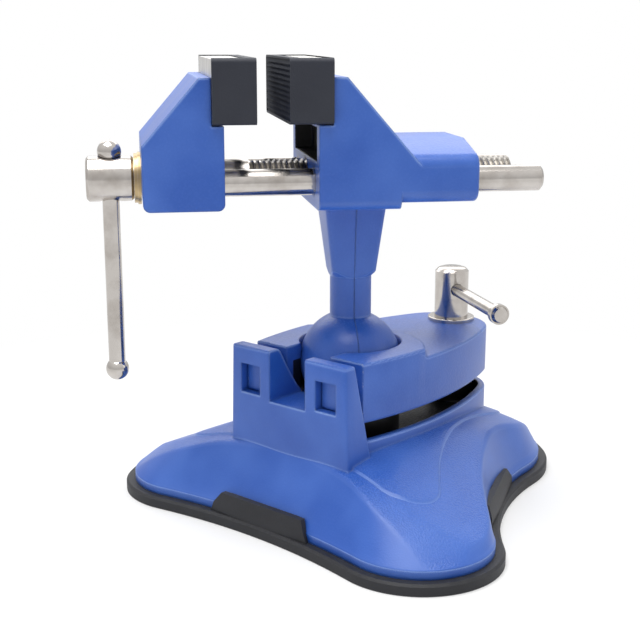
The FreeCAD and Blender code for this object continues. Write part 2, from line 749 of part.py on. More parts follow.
def make_lead_screw():
    head = cylinder(head_r, Vec(head_end_x() - head_length, 0, axis_z), Vec(head_end_x(), 0, axis_z))
    head = head.makeChamfer(0.9, [e for e in head.Edges if e.Curve.TypeId == "Part::GeomCircle"])
    shank = cylinder(lead_r, Vec(head_end_x() - 2, 0, axis_z), Vec(lead_end_x - lead_tip, 0, axis_z))
    tip = Part.makeCone(lead_r - 1.2, lead_r - 1.8, lead_tip, Vec(lead_end_x - lead_tip, 0, axis_z), Vec(1, 0, 0))
    body = head.fuse([shank, tip])
    low = Vec(handle_x(), 0, axis_z - head_r - 1)
    high = Vec(handle_x(), 0, axis_z + head_r + 1)
    body = body.cut(cylinder(handle_r + running_gap, low, high))
    for side in (-1, 1):
        seat = Vec(handle_x(), 0, axis_z + side * handle_rise)
        body = body.cut(Part.makeSphere(handle_ball_r + loose_gap, seat))
    groove = cylinder(lead_r + 1, Vec(clip_x(), 0, axis_z), Vec(clip_x() + clip_thick, 0, axis_z))
    groove = groove.cut(cylinder(lead_r - 0.8, Vec(clip_x(), 0, axis_z), Vec(clip_x() + clip_thick, 0, axis_z)))
    return body.cut(groove).removeSplitter()


def clip_x():
    return slider_face_x + clip_inset


def make_thrust_washer(index):
    start = slider_back_x - seat_gap / 2 - (index + 1) * thrust_washer
    ring = cylinder(thrust_washer_r - 0.5 * index, Vec(start, 0, axis_z), Vec(start + thrust_washer, 0, axis_z))
    return ring.cut(cylinder(lead_r + running_gap, Vec(start - 1, 0, axis_z), Vec(start + thrust_washer + 1, 0, axis_z)))


def make_retaining_clip():
    """E-shaped clip in the groove of the lead screw, open downwards."""
    start = Vec(clip_x(), 0, axis_z)
    end = Vec(clip_x() + clip_thick, 0, axis_z)
    ring = cylinder(clip_r, start, end).cut(cylinder(lead_r - 0.8, start, end))
    mouth = block((clip_x() - 1, -lead_r * 0.6, axis_z - clip_r - 1), (clip_x() + clip_thick + 1, lead_r * 0.6, axis_z))
    return ring.cut(mouth)


def make_handle_rod():
    top = axis_z + handle_rise
    return cylinder(handle_r, Vec(handle_x(), 0, top - handle_span), Vec(handle_x(), 0, top))


def make_handle_ball(z):
    knob = Part.makeSphere(handle_ball_r, Vec(handle_x(), 0, z))
    return knob.cut(make_handle_rod())


# ---- jaw plates, covers, screws ------------------------------------------------------------
def jaw_plate(face_x, direction):
    """Steel jaw plate; face_x is the cover's clamping face."""
    front = face_x + direction * cover_face
    back = face_x + direction * cover_depth
    low, high = sorted((front, back))
    half = cover_half - cover_wall
    body = block((low, -half, cover_bottom), (high, half, cover_top - cover_wall))
    for bore in jaw_screw_bores(front, Vec(direction, 0, 0), 0):
        body = body.cut(bore)
    for y in (-jaw_screw_pitch / 2, jaw_screw_pitch / 2):
        sink = Part.makeCone(jaw_screw_head_r, jaw_screw_r, jaw_screw_head,
                             Vec(front, y, (cover_bottom + cover_top) / 2), Vec(direction, 0, 0))
        body = body.cut(sink)
    return body


def jaw_cover(face_x, direction):
    """Rubber cap over the jaw plate's face, ends and top; open behind and below."""
    low, high = sorted((face_x, face_x + direction * cover_depth))
    shell = block((low, -cover_half, cover_bottom), (high, cover_half, cover_top))
    shell = rounded(shell, cover_round, lambda e: runs_along(e, Vec(1, 0, 0)))
    front = face_x + direction * cover_face
    inner_low, inner_high = sorted((front, face_x + direction * (cover_depth + 1)))
    half = cover_half - cover_wall
    return shell.cut(block((inner_low, -half, cover_bottom - 1), (inner_high, half, cover_top - cover_wall)))


def jaw_screws(face_x, direction):
    front = face_x + direction * cover_face
    run = Vec(direction, 0, 0)
    screws = []
    for y in (-jaw_screw_pitch / 2, jaw_screw_pitch / 2):
        start = Vec(front, y, (cover_bottom + cover_top) / 2)
        head = Part.makeCone(jaw_screw_head_r, jaw_screw_r, jaw_screw_head, start, run)
        body = cylinder(jaw_screw_r, start, start.add(run * (plate_depth() + jaw_screw_grip)))
        socket = cylinder(jaw_screw_r * 0.6, start, start.add(run * jaw_screw_head * 0.6))
        screws.append(head.fuse(body).cut(socket).removeSplitter())
    return Part.makeCompound(screws)


# ---- write every sub-part ---------------------------------------------------------------------
os.makedirs("parts", exist_ok=True)

base_parts = {
    "base_housing": make_base_housing(),
    "suction_pad": make_suction_pad(),
    "ball_seat": make_ball_seat(),
    "clamp_plate": make_clamp_plate(),
    "clamp_screw": make_clamp_screw(),
    "clamp_washer": make_clamp_washer(),
    "clamp_bar": make_clamp_bar(),
    "clamp_bar_cap_near": make_clamp_cap(False),
    "clamp_bar_cap_far": make_clamp_cap(True),
    "lift_lever": make_lift_lever(),
    "lift_nut": make_lift_nut(),
    "lever_pin": make_lever_pin(),
    "diaphragm_stud": make_stud(),
    "stud_pin": make_stud_pin(),
    "suction_disc": make_suction_disc(),
}
for name, shape in base_parts.items():
    save(to_bearing(shape), name)

handle_top = axis_z + handle_rise
head_parts = {
    "vise_body": make_vise_body(),
    "moving_jaw": make_moving_jaw(),
    "guide_rod_front": make_guide_rod(-rod_y),
    "guide_rod_rear": make_guide_rod(rod_y),
    "rod_pins": make_rod_pins(),
    "lead_screw": make_lead_screw(),
    "thrust_washer_inner": make_thrust_washer(0),
    "thrust_washer_outer": make_thrust_washer(1),
    "retaining_clip": make_retaining_clip(),
    "handle_rod": make_handle_rod(),
    "handle_ball_upper": make_handle_ball(handle_top),
    "handle_ball_lower": make_handle_ball(handle_top - handle_span),
    "fixed_jaw_plate": jaw_plate(fixed_face_x, 1),
    "moving_jaw_plate": jaw_plate(moving_face_x, -1),
    "fixed_jaw_cover": jaw_cover(fixed_face_x, 1),
    "moving_jaw_cover": jaw_cover(moving_face_x, -1),
    "fixed_jaw_screws": jaw_screws(fixed_face_x, 1),
    "moving_jaw_screws": jaw_screws(moving_face_x, -1),
}
for name, shape in head_parts.items():
    save(shape, name)
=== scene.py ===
"""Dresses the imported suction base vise: castings, finishes, thread, jaw treads and a studio."""

import logging
import math
from collections.abc import Callable, Iterator, Sequence
from contextlib import contextmanager
from dataclasses import dataclass
from enum import Enum
from functools import cache

import bmesh
import bpy
from bpy.types import ID, Material, Mesh, Node, NodeOutputs, NodeSocket, NodeTree, Object
from mathutils import Matrix, Vector


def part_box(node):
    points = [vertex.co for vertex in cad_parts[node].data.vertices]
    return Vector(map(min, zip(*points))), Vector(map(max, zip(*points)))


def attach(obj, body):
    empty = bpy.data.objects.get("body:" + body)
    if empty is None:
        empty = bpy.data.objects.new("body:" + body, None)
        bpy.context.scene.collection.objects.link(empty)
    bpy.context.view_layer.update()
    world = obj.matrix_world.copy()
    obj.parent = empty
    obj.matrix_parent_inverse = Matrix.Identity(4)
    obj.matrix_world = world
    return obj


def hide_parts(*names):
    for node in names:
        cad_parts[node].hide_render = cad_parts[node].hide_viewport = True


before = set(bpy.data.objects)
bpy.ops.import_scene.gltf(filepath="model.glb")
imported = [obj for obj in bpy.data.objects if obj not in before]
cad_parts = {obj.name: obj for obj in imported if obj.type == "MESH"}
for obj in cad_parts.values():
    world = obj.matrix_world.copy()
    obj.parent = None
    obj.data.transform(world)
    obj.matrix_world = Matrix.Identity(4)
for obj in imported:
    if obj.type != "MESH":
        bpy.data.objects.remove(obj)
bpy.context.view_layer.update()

log = logging.getLogger("suction_vise")
SHADE_MARK = "painted_shade_mark"
MM = 0.001
MARK_MARGIN = 0.1  # millimetres
MERGE_FINE = 1e-6  # metres
MERGE_COARSE = 2e-6
FINE_DISC = 96  # points on a wide circle
BASE_BEARING = math.radians(39.7)
HEAD_FRAME = Matrix.Scale(MM, 4)
BASE_FRAME = Matrix.Rotation(BASE_BEARING, 4, "Z") @ HEAD_FRAME

Colour = tuple[float, float, float, float]
Point = tuple[float, float, float]
Flat = tuple[float, float]
WHITE: Colour = (1.0, 1.0, 1.0, 1.0)


def srgb(red: int, green: int, blue: int) -> Colour:
    """Turn 8-bit display values into a linear colour.

    Args:
        red: Red, 0 to 255.
        green: Green, 0 to 255.
        blue: Blue, 0 to 255.

    Returns:
        The linear colour with full opacity.
    """
    def linear(value: int) -> float:
        """Linear value of one channel."""
        share = value / 255.0
        return share / 12.92 if share <= 0.04045 else ((share + 0.055) / 1.055) ** 2.4

    return (linear(red), linear(green), linear(blue), 1.0)


class Axis(Enum):
    """A direction that turning marks run round."""

    X = 0
    Y = 1
    Z = 2


class Socket(Enum):
    """Kinds of group sockets that have no default value of their own."""

    FLOAT = "NodeSocketFloat"
    VECTOR = "NodeSocketVector"
    GEOMETRY = "NodeSocketGeometry"
    MATERIAL = "NodeSocketMaterial"


# ------------------------------------------------------------------ node helpers
class NodeSheet:
    """Adds and links nodes of one tree with short calls."""

    def __init__(self, tree: NodeTree) -> None:
        """Keep the tree that the nodes go into."""
        self.tree = tree

    def add(self, kind: str, **settings: object) -> Node:
        """Add a node of a kind and set its properties by name.

        Args:
            kind: The node's type name.
            settings: Property names and values.

        Returns:
            The new node.
        """
        node = self.tree.nodes.new(kind)
        for name, value in settings.items():
            setattr(node, name, value)
        return node

    def feed(self, node: Node, **inputs: object) -> Node:
        """Set or link a node's inputs by name, with underscores for spaces.

        Args:
            node: The node whose inputs are set.
            inputs: Input names, each with a number, a colour or another node's socket.

        Returns:
            The same node.
        """
        for name, value in inputs.items():
            self.plug(node, name.replace("_", " "), value)
        return node

    def plug(self, node: Node, key: object, value: object) -> None:
        """Set or link one input, found by its name or its place.

        Args:
            node: The node whose input is set.
            key: The input's name or place.
            value: A plain value or another node's socket.
        """
        socket = node.inputs[key]
        if isinstance(value, NodeSocket):
            self.tree.links.new(value, socket)
        else:
            socket.default_value = value

    def math(self, operation: str, first: object, second: object = 0.0,
             clamp: bool = False) -> NodeSocket:
        """Add a Math node.

        Args:
            operation: Blender's name of the sum.
            first: First number or socket.
            second: Second number or socket.
            clamp: True to keep the result between 0 and 1.

        Returns:
            The result's socket.
        """
        node = self.add("ShaderNodeMath", operation=operation, use_clamp=clamp)
        self.plug(node, 0, first)
        self.plug(node, 1, second)
        return node.outputs[0]

    def times(self, first: object, second: object, clamp: bool = False) -> NodeSocket:
        """Multiply two numbers or sockets."""
        return self.math("MULTIPLY", first, second, clamp)

    def ramp(self, value: object, low: float, high: float, start: float = 0.0,
             end: float = 1.0) -> NodeSocket:
        """Map a value from one range to another, held at both ends.

        Args:
            value: Number or socket that is mapped.
            low: Start of its range.
            high: End of its range.
            start: Result at the range's start.
            end: Result at the range's end.

        Returns:
            The result's socket.
        """
        node = self.add("ShaderNodeMapRange", clamp=True)
        for key, number in enumerate((value, low, high, start, end)):
            self.plug(node, key, number)
        return node.outputs[0]

    def layers(self, ground: Colour, *coats: tuple[object, Colour]) -> NodeSocket:
        """Lay colours over one another.

        Args:
            ground: The lowest colour.
            coats: The share and the colour of each coat, from the lowest up.

        Returns:
            The finished colour's socket.
        """
        tone: object = ground
        for share, colour in coats:
            node = self.add("ShaderNodeMix", data_type="RGBA")
            for key, value in ((0, share), (6, tone), (7, colour)):
                self.plug(node, key, value)
            tone = node.outputs[2]
        return tone

    def noise(self, place: object, scale: object, detail: float, **others: float) -> NodeSocket:
        """Add a Noise texture and return its grey value."""
        node = self.add("ShaderNodeTexNoise")
        return self.feed(node, Vector=place, Scale=scale, Detail=detail, **others).outputs["Fac"]

    def vector_math(self, operation: str, *parts: object) -> NodeOutputs:
        """Add a Vector Math node and return its outputs.

        Args:
            operation: Blender's name of the sum.
            parts: Vectors or sockets, in order.

        Returns:
            The node's outputs.
        """
        node = self.add("ShaderNodeVectorMath", operation=operation)
        for key, part in enumerate(parts):
            self.plug(node, key, part)
        return node.outputs

    def split(self, vector: object) -> NodeOutputs:
        """Split a vector and return its X, Y and Z outputs.

        Args:
            vector: Vector or socket.

        Returns:
            The outputs X, Y and Z.
        """
        node = self.add("ShaderNodeSeparateXYZ")
        self.plug(node, 0, vector)
        return node.outputs

    def facing(self) -> NodeSocket:
        """The surface's own normal."""
        return self.add("ShaderNodeNewGeometry").outputs["Normal"]

    def effect(self, tree: NodeTree, **inputs: object) -> NodeOutputs:
        """Place a shared effect and return its outputs."""
        return self.feed(self.add("ShaderNodeGroup", node_tree=tree), **inputs).outputs

    def bump(self, **inputs: object) -> NodeSocket:
        """Add a Bump node and return its normal."""
        return self.feed(self.add("ShaderNodeBump"), **inputs).outputs[0]

    def close_geometry(self, sink: Node, geometry: object, material: object) -> None:
        """End a geometry tree: make instances real and give them their material.

        Args:
            sink: The tree's output node.
            geometry: Socket of the finished geometry.
            material: Socket of the material.
        """
        real = self.add("GeometryNodeRealizeInstances")
        self.plug(real, 0, geometry)
        paint = self.add("GeometryNodeSetMaterial")
        self.feed(paint, Geometry=real.outputs[0], Material=material)
        self.plug(sink, 0, paint.outputs[0])


def new_group(name: str, inputs: dict[str, object], outputs: dict[str, Socket],
              kind: str = "ShaderNodeTree") -> tuple[NodeSheet, NodeOutputs, Node]:
    """Make a node group with named sockets.

    Args:
        name: The group's name.
        inputs: Each input's name with its default, or with its kind where it has none.
        outputs: Each output's name with its kind.
        kind: The tree's type.

    Returns:
        The group's sheet, the sockets that it is given and its output node.
    """
    kinds = {float: "NodeSocketFloat", int: "NodeSocketInt", tuple: "NodeSocketVector"}
    tree = bpy.data.node_groups.new(name, kind)
    for label, given in inputs.items():
        bare = isinstance(given, Socket)
        made = tree.interface.new_socket(name=label, in_out="INPUT",
                                         socket_type=given.value if bare else kinds[type(given)])
        if not bare:
            made.default_value = given
    for label, made_as in outputs.items():
        tree.interface.new_socket(name=label, in_out="OUTPUT", socket_type=made_as.value)
    sheet = NodeSheet(tree)
    return sheet, sheet.add("NodeGroupInput").outputs, sheet.add("NodeGroupOutput")


# ------------------------------------------------------------------ shared effects
class Effects:
    """Shader groups that several finishes share, each built once."""

    def __init__(self) -> None:
        """Build the groups."""
        self.grain = self._grain()
        self.edges = self._edges()
        self.dust = self._dust()
        self.turning = self._turning()

    def _grain(self) -> NodeTree:
        """Pebbled skin: rounded cells of one size broken up by noise.

        Returns:
            The group's tree.
        """
        sheet, given, sink = new_group(
            "pebble_grain", {"Vector": Socket.VECTOR, "Cell": 900.0, "Break Up": 0.5},
            {"Height": Socket.FLOAT, "Patches": Socket.FLOAT})
        place, cell = given["Vector"], given["Cell"]
        cells = sheet.add("ShaderNodeTexVoronoi", feature="SMOOTH_F1")
        sheet.feed(cells, Vector=place, Scale=cell, Smoothness=0.6)
        peaks = sheet.math("SUBTRACT", 1.0, cells.outputs["Distance"])
        rough = sheet.times(sheet.noise(place, cell, detail=3.0), given["Break Up"])
        patches = sheet.noise(place, 38.0, detail=2.0)
        sheet.feed(sink, Height=sheet.math("ADD", peaks, rough),
                   Patches=sheet.ramp(patches, low=0.35, high=0.68))
        return sheet.tree

    def _edges(self) -> NodeTree:
        """Masks along sharp edges, on their upper side and in crevices, a mask of chips, and the
        normal eased over the edges; the finishes use the edge masks as painted highlights and the
        crevice mask as painted shade.

        Returns:
            The group's tree.
        """
        sheet, given, sink = new_group(
            "edge_band", {"Radius": 0.0005, "Gain": 6.0, "Vector": Socket.VECTOR, "Chips": 0.0},
            {"Mask": Socket.FLOAT, "Bare": Socket.FLOAT, "Eased": Socket.VECTOR,
             "Upward": Socket.FLOAT, "Crevice": Socket.FLOAT})
        bevel = sheet.feed(sheet.add("ShaderNodeBevel", samples=6), Radius=given["Radius"])
        eased, facing = bevel.outputs["Normal"], sheet.facing()
        likeness = sheet.vector_math("DOT_PRODUCT", eased, facing)["Value"]
        mask = sheet.times(sheet.math("SUBTRACT", 1.0, likeness), given["Gain"], clamp=True)
        spots = sheet.ramp(sheet.noise(given["Vector"], 420.0, detail=4.0), low=0.62, high=0.66)
        bare = sheet.times(sheet.times(spots, mask), given["Chips"], clamp=True)
        tilt = sheet.math("SUBTRACT", sheet.split(eased)["Z"], sheet.split(facing)["Z"])
        # Upward is a painted highlight where the eased normal tilts up, kept off concave corners;
        # Crevice is painted shade where ambient occlusion finds a concave corner.
        nook = sheet.add("ShaderNodeAmbientOcclusion", samples=6)
        open_sky = sheet.feed(nook, Distance=0.004).outputs["AO"]
        upward = sheet.times(sheet.times(tilt, 3.4, clamp=True),
                             sheet.ramp(open_sky, low=0.72, high=0.92))
        sheet.feed(sink, Mask=mask, Bare=bare, Eased=eased, Upward=upward,
                   Crevice=sheet.ramp(open_sky, low=0.25, high=0.8, start=1.0, end=0.0))
        return sheet.tree

    def _dust(self) -> NodeTree:
        """Thin uneven dust on faces that look up.

        Returns:
            The group's tree.
        """
        sheet, given, sink = new_group(
            "settled_dust", {"Vector": Socket.VECTOR, "Amount": 0.3}, {"Mask": Socket.FLOAT})
        up = sheet.ramp(sheet.split(sheet.facing())["Z"], low=0.1, high=0.9, start=0.15)
        fine = sheet.noise(given["Vector"], 260.0, detail=6.0, Roughness=0.7)
        cloud = sheet.ramp(fine, low=0.45, high=0.75)
        sheet.feed(sink, Mask=sheet.times(sheet.times(up, cloud), given["Amount"], clamp=True))
        return sheet.tree

    def _turning(self) -> NodeTree:
        """Fine marks of a lathe tool, as rings along a direction, with faint stains.

        Returns:
            The group's tree.
        """
        sheet, given, sink = new_group(
            "lathe_marks", {"Vector": Socket.VECTOR, "Along": (2200.0, 60.0, 60.0)},
            {"Height": Socket.FLOAT, "Stain": Socket.FLOAT})
        drawn_out = sheet.vector_math("MULTIPLY", given["Vector"], given["Along"])[0]
        stain = sheet.noise(given["Vector"], 140.0, detail=4.0)
        sheet.feed(sink, Height=sheet.noise(drawn_out, 1.0, detail=3.0),
                   Stain=sheet.ramp(stain, low=0.4, high=0.75))
        return sheet.tree


# ------------------------------------------------------------------ finishes
def start_material(name: str) -> tuple[Material, NodeSheet, Node, NodeSocket]:
    """Make a material with a Principled shader.

    Args:
        name: The material's name.

    Returns:
        The material, its sheet, its shader and the Object coordinate socket.
    """
    material = bpy.data.materials.new(name)
    material.use_nodes = True
    sheet = NodeSheet(material.node_tree)
    place = sheet.add("ShaderNodeTexCoord").outputs["Object"]
    return material, sheet, material.node_tree.nodes["Principled BSDF"], place


@dataclass(frozen=True)
class PaintFinish:
    """Baked blue enamel over a cast surface."""

    name: str
    grain: float
    grain_on_top: float
    cell: float
    chips: float = 0.0
    roughness: float = 0.38
    colour: Colour = srgb(31, 82, 172)
    light: Colour = srgb(92, 134, 218)
    crevice_shade: Colour = srgb(14, 40, 104)
    edge_highlight: Colour = srgb(150, 180, 236)
    bare: Colour = srgb(176, 186, 205)
    painted_shade: Colour = srgb(15, 15, 18)

    def build(self, effects: Effects) -> Material:
        """Build the enamel's material from the shared effects.

        Args:
            effects: The shared shader groups.

        Returns:
            The finished material.
        """
        material, sheet, shader, place = start_material(self.name)
        grain = sheet.effect(effects.grain, Vector=place, Cell=self.cell, Break_Up=0.6)
        edges = sheet.effect(effects.edges, Radius=0.0013, Gain=1.4, Vector=place,
                             Chips=self.chips)
        # Faces that look up get more of the painted highlight on the grain crowns, and a deeper
        # bump.
        up = sheet.ramp(sheet.split(sheet.facing())["Z"], low=0.74, high=0.88)
        crowns = sheet.ramp(grain["Height"], low=0.75, high=1.35, end=0.30)
        painted_shade = sheet.add("ShaderNodeAttribute", attribute_name=SHADE_MARK, attribute_type="GEOMETRY")
        tone = sheet.layers(
            self.colour,
            (sheet.times(grain["Patches"], 0.30), self.light),
            # Painted highlight: grain crowns lighter, more so on faces that look up.
            (sheet.times(crowns, sheet.math("ADD", up, 0.25)), self.light),
            # Painted highlight along sharp edges.
            (sheet.times(edges["Mask"], 0.4), self.light),
            # Painted shade in crevices, from ambient occlusion.
            (sheet.times(edges["Crevice"], 0.35), self.crevice_shade),
            # Painted highlight on the upper side of edges.
            (sheet.times(edges["Upward"], 0.75), self.edge_highlight),
            (edges["Bare"], self.bare),
            # Painted shade: near black on faces marked inside the well, the plate's cavity and
            # the jaw's hollow.
            (painted_shade.outputs["Fac"], self.painted_shade))
        depth = sheet.ramp(up, low=0.0, high=1.0, start=self.grain, end=self.grain_on_top)
        rough = sheet.ramp(grain["Patches"], low=0.0, high=1.0, start=self.roughness - 0.04,
                           end=self.roughness + 0.06)
        relief = sheet.bump(Strength=depth, Distance=0.00035, Height=grain["Height"],
                            Normal=edges["Eased"])
        sheet.feed(shader, Base_Color=tone, Roughness=rough, Normal=relief, Coat_Weight=0.1,
                   Coat_Roughness=0.3, Specular_IOR_Level=0.5)
        return material


@dataclass(frozen=True)
class RubberFinish:
    """Moulded rubber or nylon with a little dust."""

    name: str
    colour: Colour
    patch_tone_and_edge_highlight: Colour
    dust: float
    roughness: float = 0.58
    cell: float = 1500.0
    dust_colour: Colour = srgb(128, 126, 122)

    def build(self, effects: Effects) -> Material:
        """Build the rubber's material from the shared effects.

        Args:
            effects: The shared shader groups.

        Returns:
            The finished material.
        """
        material, sheet, shader, place = start_material(self.name)
        grain = sheet.effect(effects.grain, Vector=place, Cell=self.cell, Break_Up=1.0)
        edges = sheet.effect(effects.edges, Radius=0.0005, Gain=2.0, Vector=place)
        dust = sheet.effect(effects.dust, Vector=place, Amount=self.dust)["Mask"]
        tone = sheet.layers(
            self.colour,
            (sheet.times(grain["Patches"], 0.25), self.patch_tone_and_edge_highlight),
            # Painted highlight along sharp edges.
            (sheet.times(edges["Mask"], 0.5), self.patch_tone_and_edge_highlight),
            (sheet.times(dust, 0.5), self.dust_colour))
        rough = sheet.math("ADD", self.roughness, sheet.times(dust, 0.3), clamp=True)
        relief = sheet.bump(Strength=0.18, Distance=0.0002, Height=grain["Height"])
        sheet.feed(shader, Base_Color=tone, Roughness=rough, Normal=relief,
                   Specular_IOR_Level=0.42)
        return material


@dataclass(frozen=True)
class MetalFinish:
    """Turned or ground metal, bare or plated."""

    name: str
    colour: Colour
    stain: Colour
    roughness: float
    along: Axis
    marks: float = 0.05
    rings: float = 2600.0
    across: float = 90.0
    edge_highlight: Colour = (0.9, 0.89, 0.87, 1.0)

    def build(self, effects: Effects) -> Material:
        """Build the metal's material from the shared effects.

        Args:
            effects: The shared shader groups.

        Returns:
            The finished material.
        """
        material, sheet, shader, place = start_material(self.name)
        stretch = tuple(self.rings if axis is self.along else self.across for axis in Axis)
        turning = sheet.effect(effects.turning, Vector=place, Along=stretch)
        edges = sheet.effect(effects.edges, Radius=0.0003, Gain=1.6, Vector=place)
        tone = sheet.layers(self.colour,
                            (sheet.times(turning["Stain"], 0.5), self.stain),
                            # Painted highlight along sharp edges.
                            (sheet.times(edges["Mask"], 0.4), self.edge_highlight))
        rough = sheet.ramp(turning["Stain"], low=0.0, high=1.0, start=self.roughness,
                           end=self.roughness + 0.12)
        relief = sheet.bump(Strength=self.marks, Distance=0.0001, Height=turning["Height"])
        sheet.feed(shader, Base_Color=tone, Roughness=rough, Normal=relief, Metallic=1.0)
        return material


class Finishes:
    """Every finish of the vise, built once and handed out by name."""

    def __init__(self) -> None:
        """Build the shared effects and each finish."""
        effects = Effects()

        def paint(part: str, grain: float, on_top: float, cell: float,
                  chips: float = 0.0) -> Material:
            """Blue enamel of one casting."""
            return PaintFinish("blue_enamel_" + part, grain, on_top, cell, chips).build(effects)

        def rubber(name: str, colour: Colour, patch_tone_and_edge_highlight: Colour, dust: float,
                   roughness: float = 0.58) -> Material:
            """Rubber or nylon of one moulding."""
            return RubberFinish(name, colour, patch_tone_and_edge_highlight, dust, roughness).build(effects)

        def metal(name: str, colour: Colour, stain: Colour, roughness: float, along: Axis,
                  **marks: float) -> Material:
            """One metal, with its tool marks round an axis."""
            return MetalFinish(name, colour, stain, roughness, along, **marks).build(effects)

        self.base_paint = paint("base", 0.07, 0.6, 1700.0)
        self.head_paint = paint("head", 0.14, 0.2, 1200.0)
        self.plate_paint = paint("plate", 0.16, 0.24, 1150.0, chips=1.0)
        self.pad_rubber = rubber("black_pad_rubber", srgb(27, 28, 33), srgb(54, 55, 60), 0.16)
        self.jaw_rubber = rubber("black_jaw_rubber", srgb(32, 35, 46), srgb(62, 66, 76), 0.1)
        self.nylon = rubber("grey_nylon", srgb(40, 40, 42), srgb(58, 58, 60), 0.05, 0.5)
        nickel, tarnish = srgb(196, 191, 186), srgb(140, 130, 120)
        self.nickel_x = metal("bright_nickel_along_x", nickel, tarnish, 0.14, Axis.X)
        self.nickel_z = metal("bright_nickel_along_z", nickel, tarnish, 0.14, Axis.Z)
        self.screw_steel = metal("turned_steel", srgb(168, 164, 158), srgb(110, 104, 98), 0.26,
                                 Axis.X, marks=0.12)
        self.jaw_steel = metal("ground_steel", srgb(222, 220, 216), srgb(180, 176, 170), 0.3,
                               Axis.Y, marks=0.15, rings=1800.0)
        self.inner_steel = metal("plain_steel", srgb(150, 148, 145), srgb(100, 96, 92), 0.35,
                                 Axis.Y, marks=0.1)
        self.brass = metal("brass_washer", srgb(186, 164, 124), srgb(136, 112, 78), 0.28, Axis.X)
        self.black_steel = metal("black_spring_steel", srgb(58, 58, 62), srgb(30, 30, 32), 0.4,
                                 Axis.X)


# ------------------------------------------------------------------ mesh helpers
def place_object(name: str, data: ID) -> Object:
    """Make an object of some data and link it to the scene.

    Args:
        name: The object's name.
        data: Its mesh, lamp or camera data.

    Returns:
        The linked object.
    """
    obj = bpy.data.objects.new(name, data)
    bpy.context.scene.collection.objects.link(obj)
    return obj


@contextmanager
def editing(mesh: Mesh) -> Iterator[bmesh.types.BMesh]:
    """Open a mesh for editing and write it back at the end.

    Args:
        mesh: The mesh that is edited.

    Returns:
        The working mesh, freed at the end.
    """
    work = bmesh.new()
    work.from_mesh(mesh)
    yield work
    work.to_mesh(mesh)
    work.free()


def evaluated_mesh(obj: Object) -> Mesh:
    """New mesh of an object as its modifiers leave it."""
    graph = bpy.context.evaluated_depsgraph_get()
    return bpy.data.meshes.new_from_object(obj.evaluated_get(graph), depsgraph=graph)


def dress(obj: Object, material: Material) -> None:
    """Give an object one material in every slot.

    Args:
        obj: The object.
        material: Its material.
    """
    mesh = obj.data
    mesh.materials.clear()
    mesh.materials.append(material)
    for polygon in mesh.polygons:
        polygon.material_index = 0


def run_tree(name: str, tree: NodeTree, values: dict[str, object],
             start: Mesh | None = None) -> Object:
    """Run a geometry tree and keep its result as a plain mesh object.

    Args:
        name: Name of the finished object.
        tree: The geometry tree.
        values: Named inputs and their values.
        start: Mesh that the tree starts from, or None for an empty one.

    Returns:
        The object with the result as its own mesh and no modifier.
    """
    holder = place_object(name, start or bpy.data.meshes.new(name))
    modifier = holder.modifiers.new("shape", "NODES")
    modifier.node_group = tree
    for item in tree.interface.items_tree:
        if item.item_type == "SOCKET" and item.in_out == "INPUT" and item.name in values:
            modifier[item.identifier] = values[item.name]
    holder.update_tag()
    mesh = evaluated_mesh(holder)
    holder.modifiers.remove(modifier)
    holder.data = mesh
    mesh.name = name
    return holder


def outward(mesh: Mesh) -> None:
    """Merge doubled corners and turn every face outwards.

    Args:
        mesh: The mesh that is mended.
    """
    with editing(mesh) as work:
        bmesh.ops.remove_doubles(work, verts=work.verts, dist=MERGE_FINE)
        bmesh.ops.recalc_face_normals(work, faces=work.faces)


def close_holes(work: bmesh.types.BMesh) -> None:
    """Fill every open loop of a mesh that is being edited."""
    ends = [edge for edge in work.edges if len(edge.link_faces) == 1]
    bmesh.ops.holes_fill(work, edges=ends, sides=0)


def shade(mesh: Mesh, degrees: float = 35.0) -> None:
    """Shade a mesh smooth with sharp edges above an angle.

    Args:
        mesh: The mesh that is shaded.
        degrees: Edges sharper than this stay sharp.
    """
    limit = math.radians(degrees)
    with editing(mesh) as work:
        for face in work.faces:
            face.smooth = True
        for edge in work.edges:
            sharp = len(edge.link_faces) == 2 and edge.calc_face_angle(0.0) > limit
            edge.smooth = not sharp


def finish_piece(obj: Object, material: Material, body: str) -> Object:
    """Dress a linked object, set it riding on a body and log it.

    Args:
        obj: The piece, already in place.
        material: Its finish.
        body: The CAD body that it rides on.

    Returns:
        The same object.
    """
    dress(obj, material)
    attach(obj, body)
    log.info("%s: %d faces on %s", obj.name, len(obj.data.polygons), body)
    return obj


# ------------------------------------------------------------------ outlines
def sides_of(outline: Sequence[Vector]) -> Iterator[tuple[Vector, Vector]]:
    """Both ends of each side of a closed outline."""
    return zip(outline, [*outline[1:], outline[0]])


def encloses(outline: Sequence[Vector], point: Vector) -> bool:
    """True where a plan point lies inside an outline.

    Args:
        outline: The closed outline.
        point: The point that is tested.

    Returns:
        Whether it lies inside.
    """
    inside = False
    for p, q in sides_of(outline):
        if (p.y > point.y) != (q.y > point.y):
            inside ^= point.x < p.x + (q.x - p.x) * (point.y - p.y) / (q.y - p.y)
    return inside


def arc_points(centre: Vector, start: Vector, end: Vector, steps: int, turn: int) -> list[Vector]:
    """Points along an arc, without its last one.

    Args:
        centre: The arc's centre.
        start: First point.
        end: Last point.
        steps: Number of points.
        turn: 1 for anticlockwise, -1 for clockwise.

    Returns:
        The points in order.
    """
    arm = start - centre
    first = math.atan2(arm.y, arm.x)
    last = math.atan2(end.y - centre.y, end.x - centre.x)
    sweep = (last - first) * turn % (2.0 * math.pi)
    angles = [first + turn * sweep * step / steps for step in range(steps)]
    return [centre + arm.length * Vector((math.cos(angle), math.sin(angle))) for angle in angles]


def disc(centre: Flat, radius: float, count: int = 64) -> list[Vector]:
    """Circle of points, anticlockwise.

    Args:
        centre: The circle's middle.
        radius: Its radius.
        count: Number of points.

    Returns:
        The points in order.
    """
    angles = [2 * math.pi * step / count for step in range(count)]
    return [Vector((centre[0] + radius * math.cos(angle), centre[1] + radius * math.sin(angle)))
            for angle in angles]


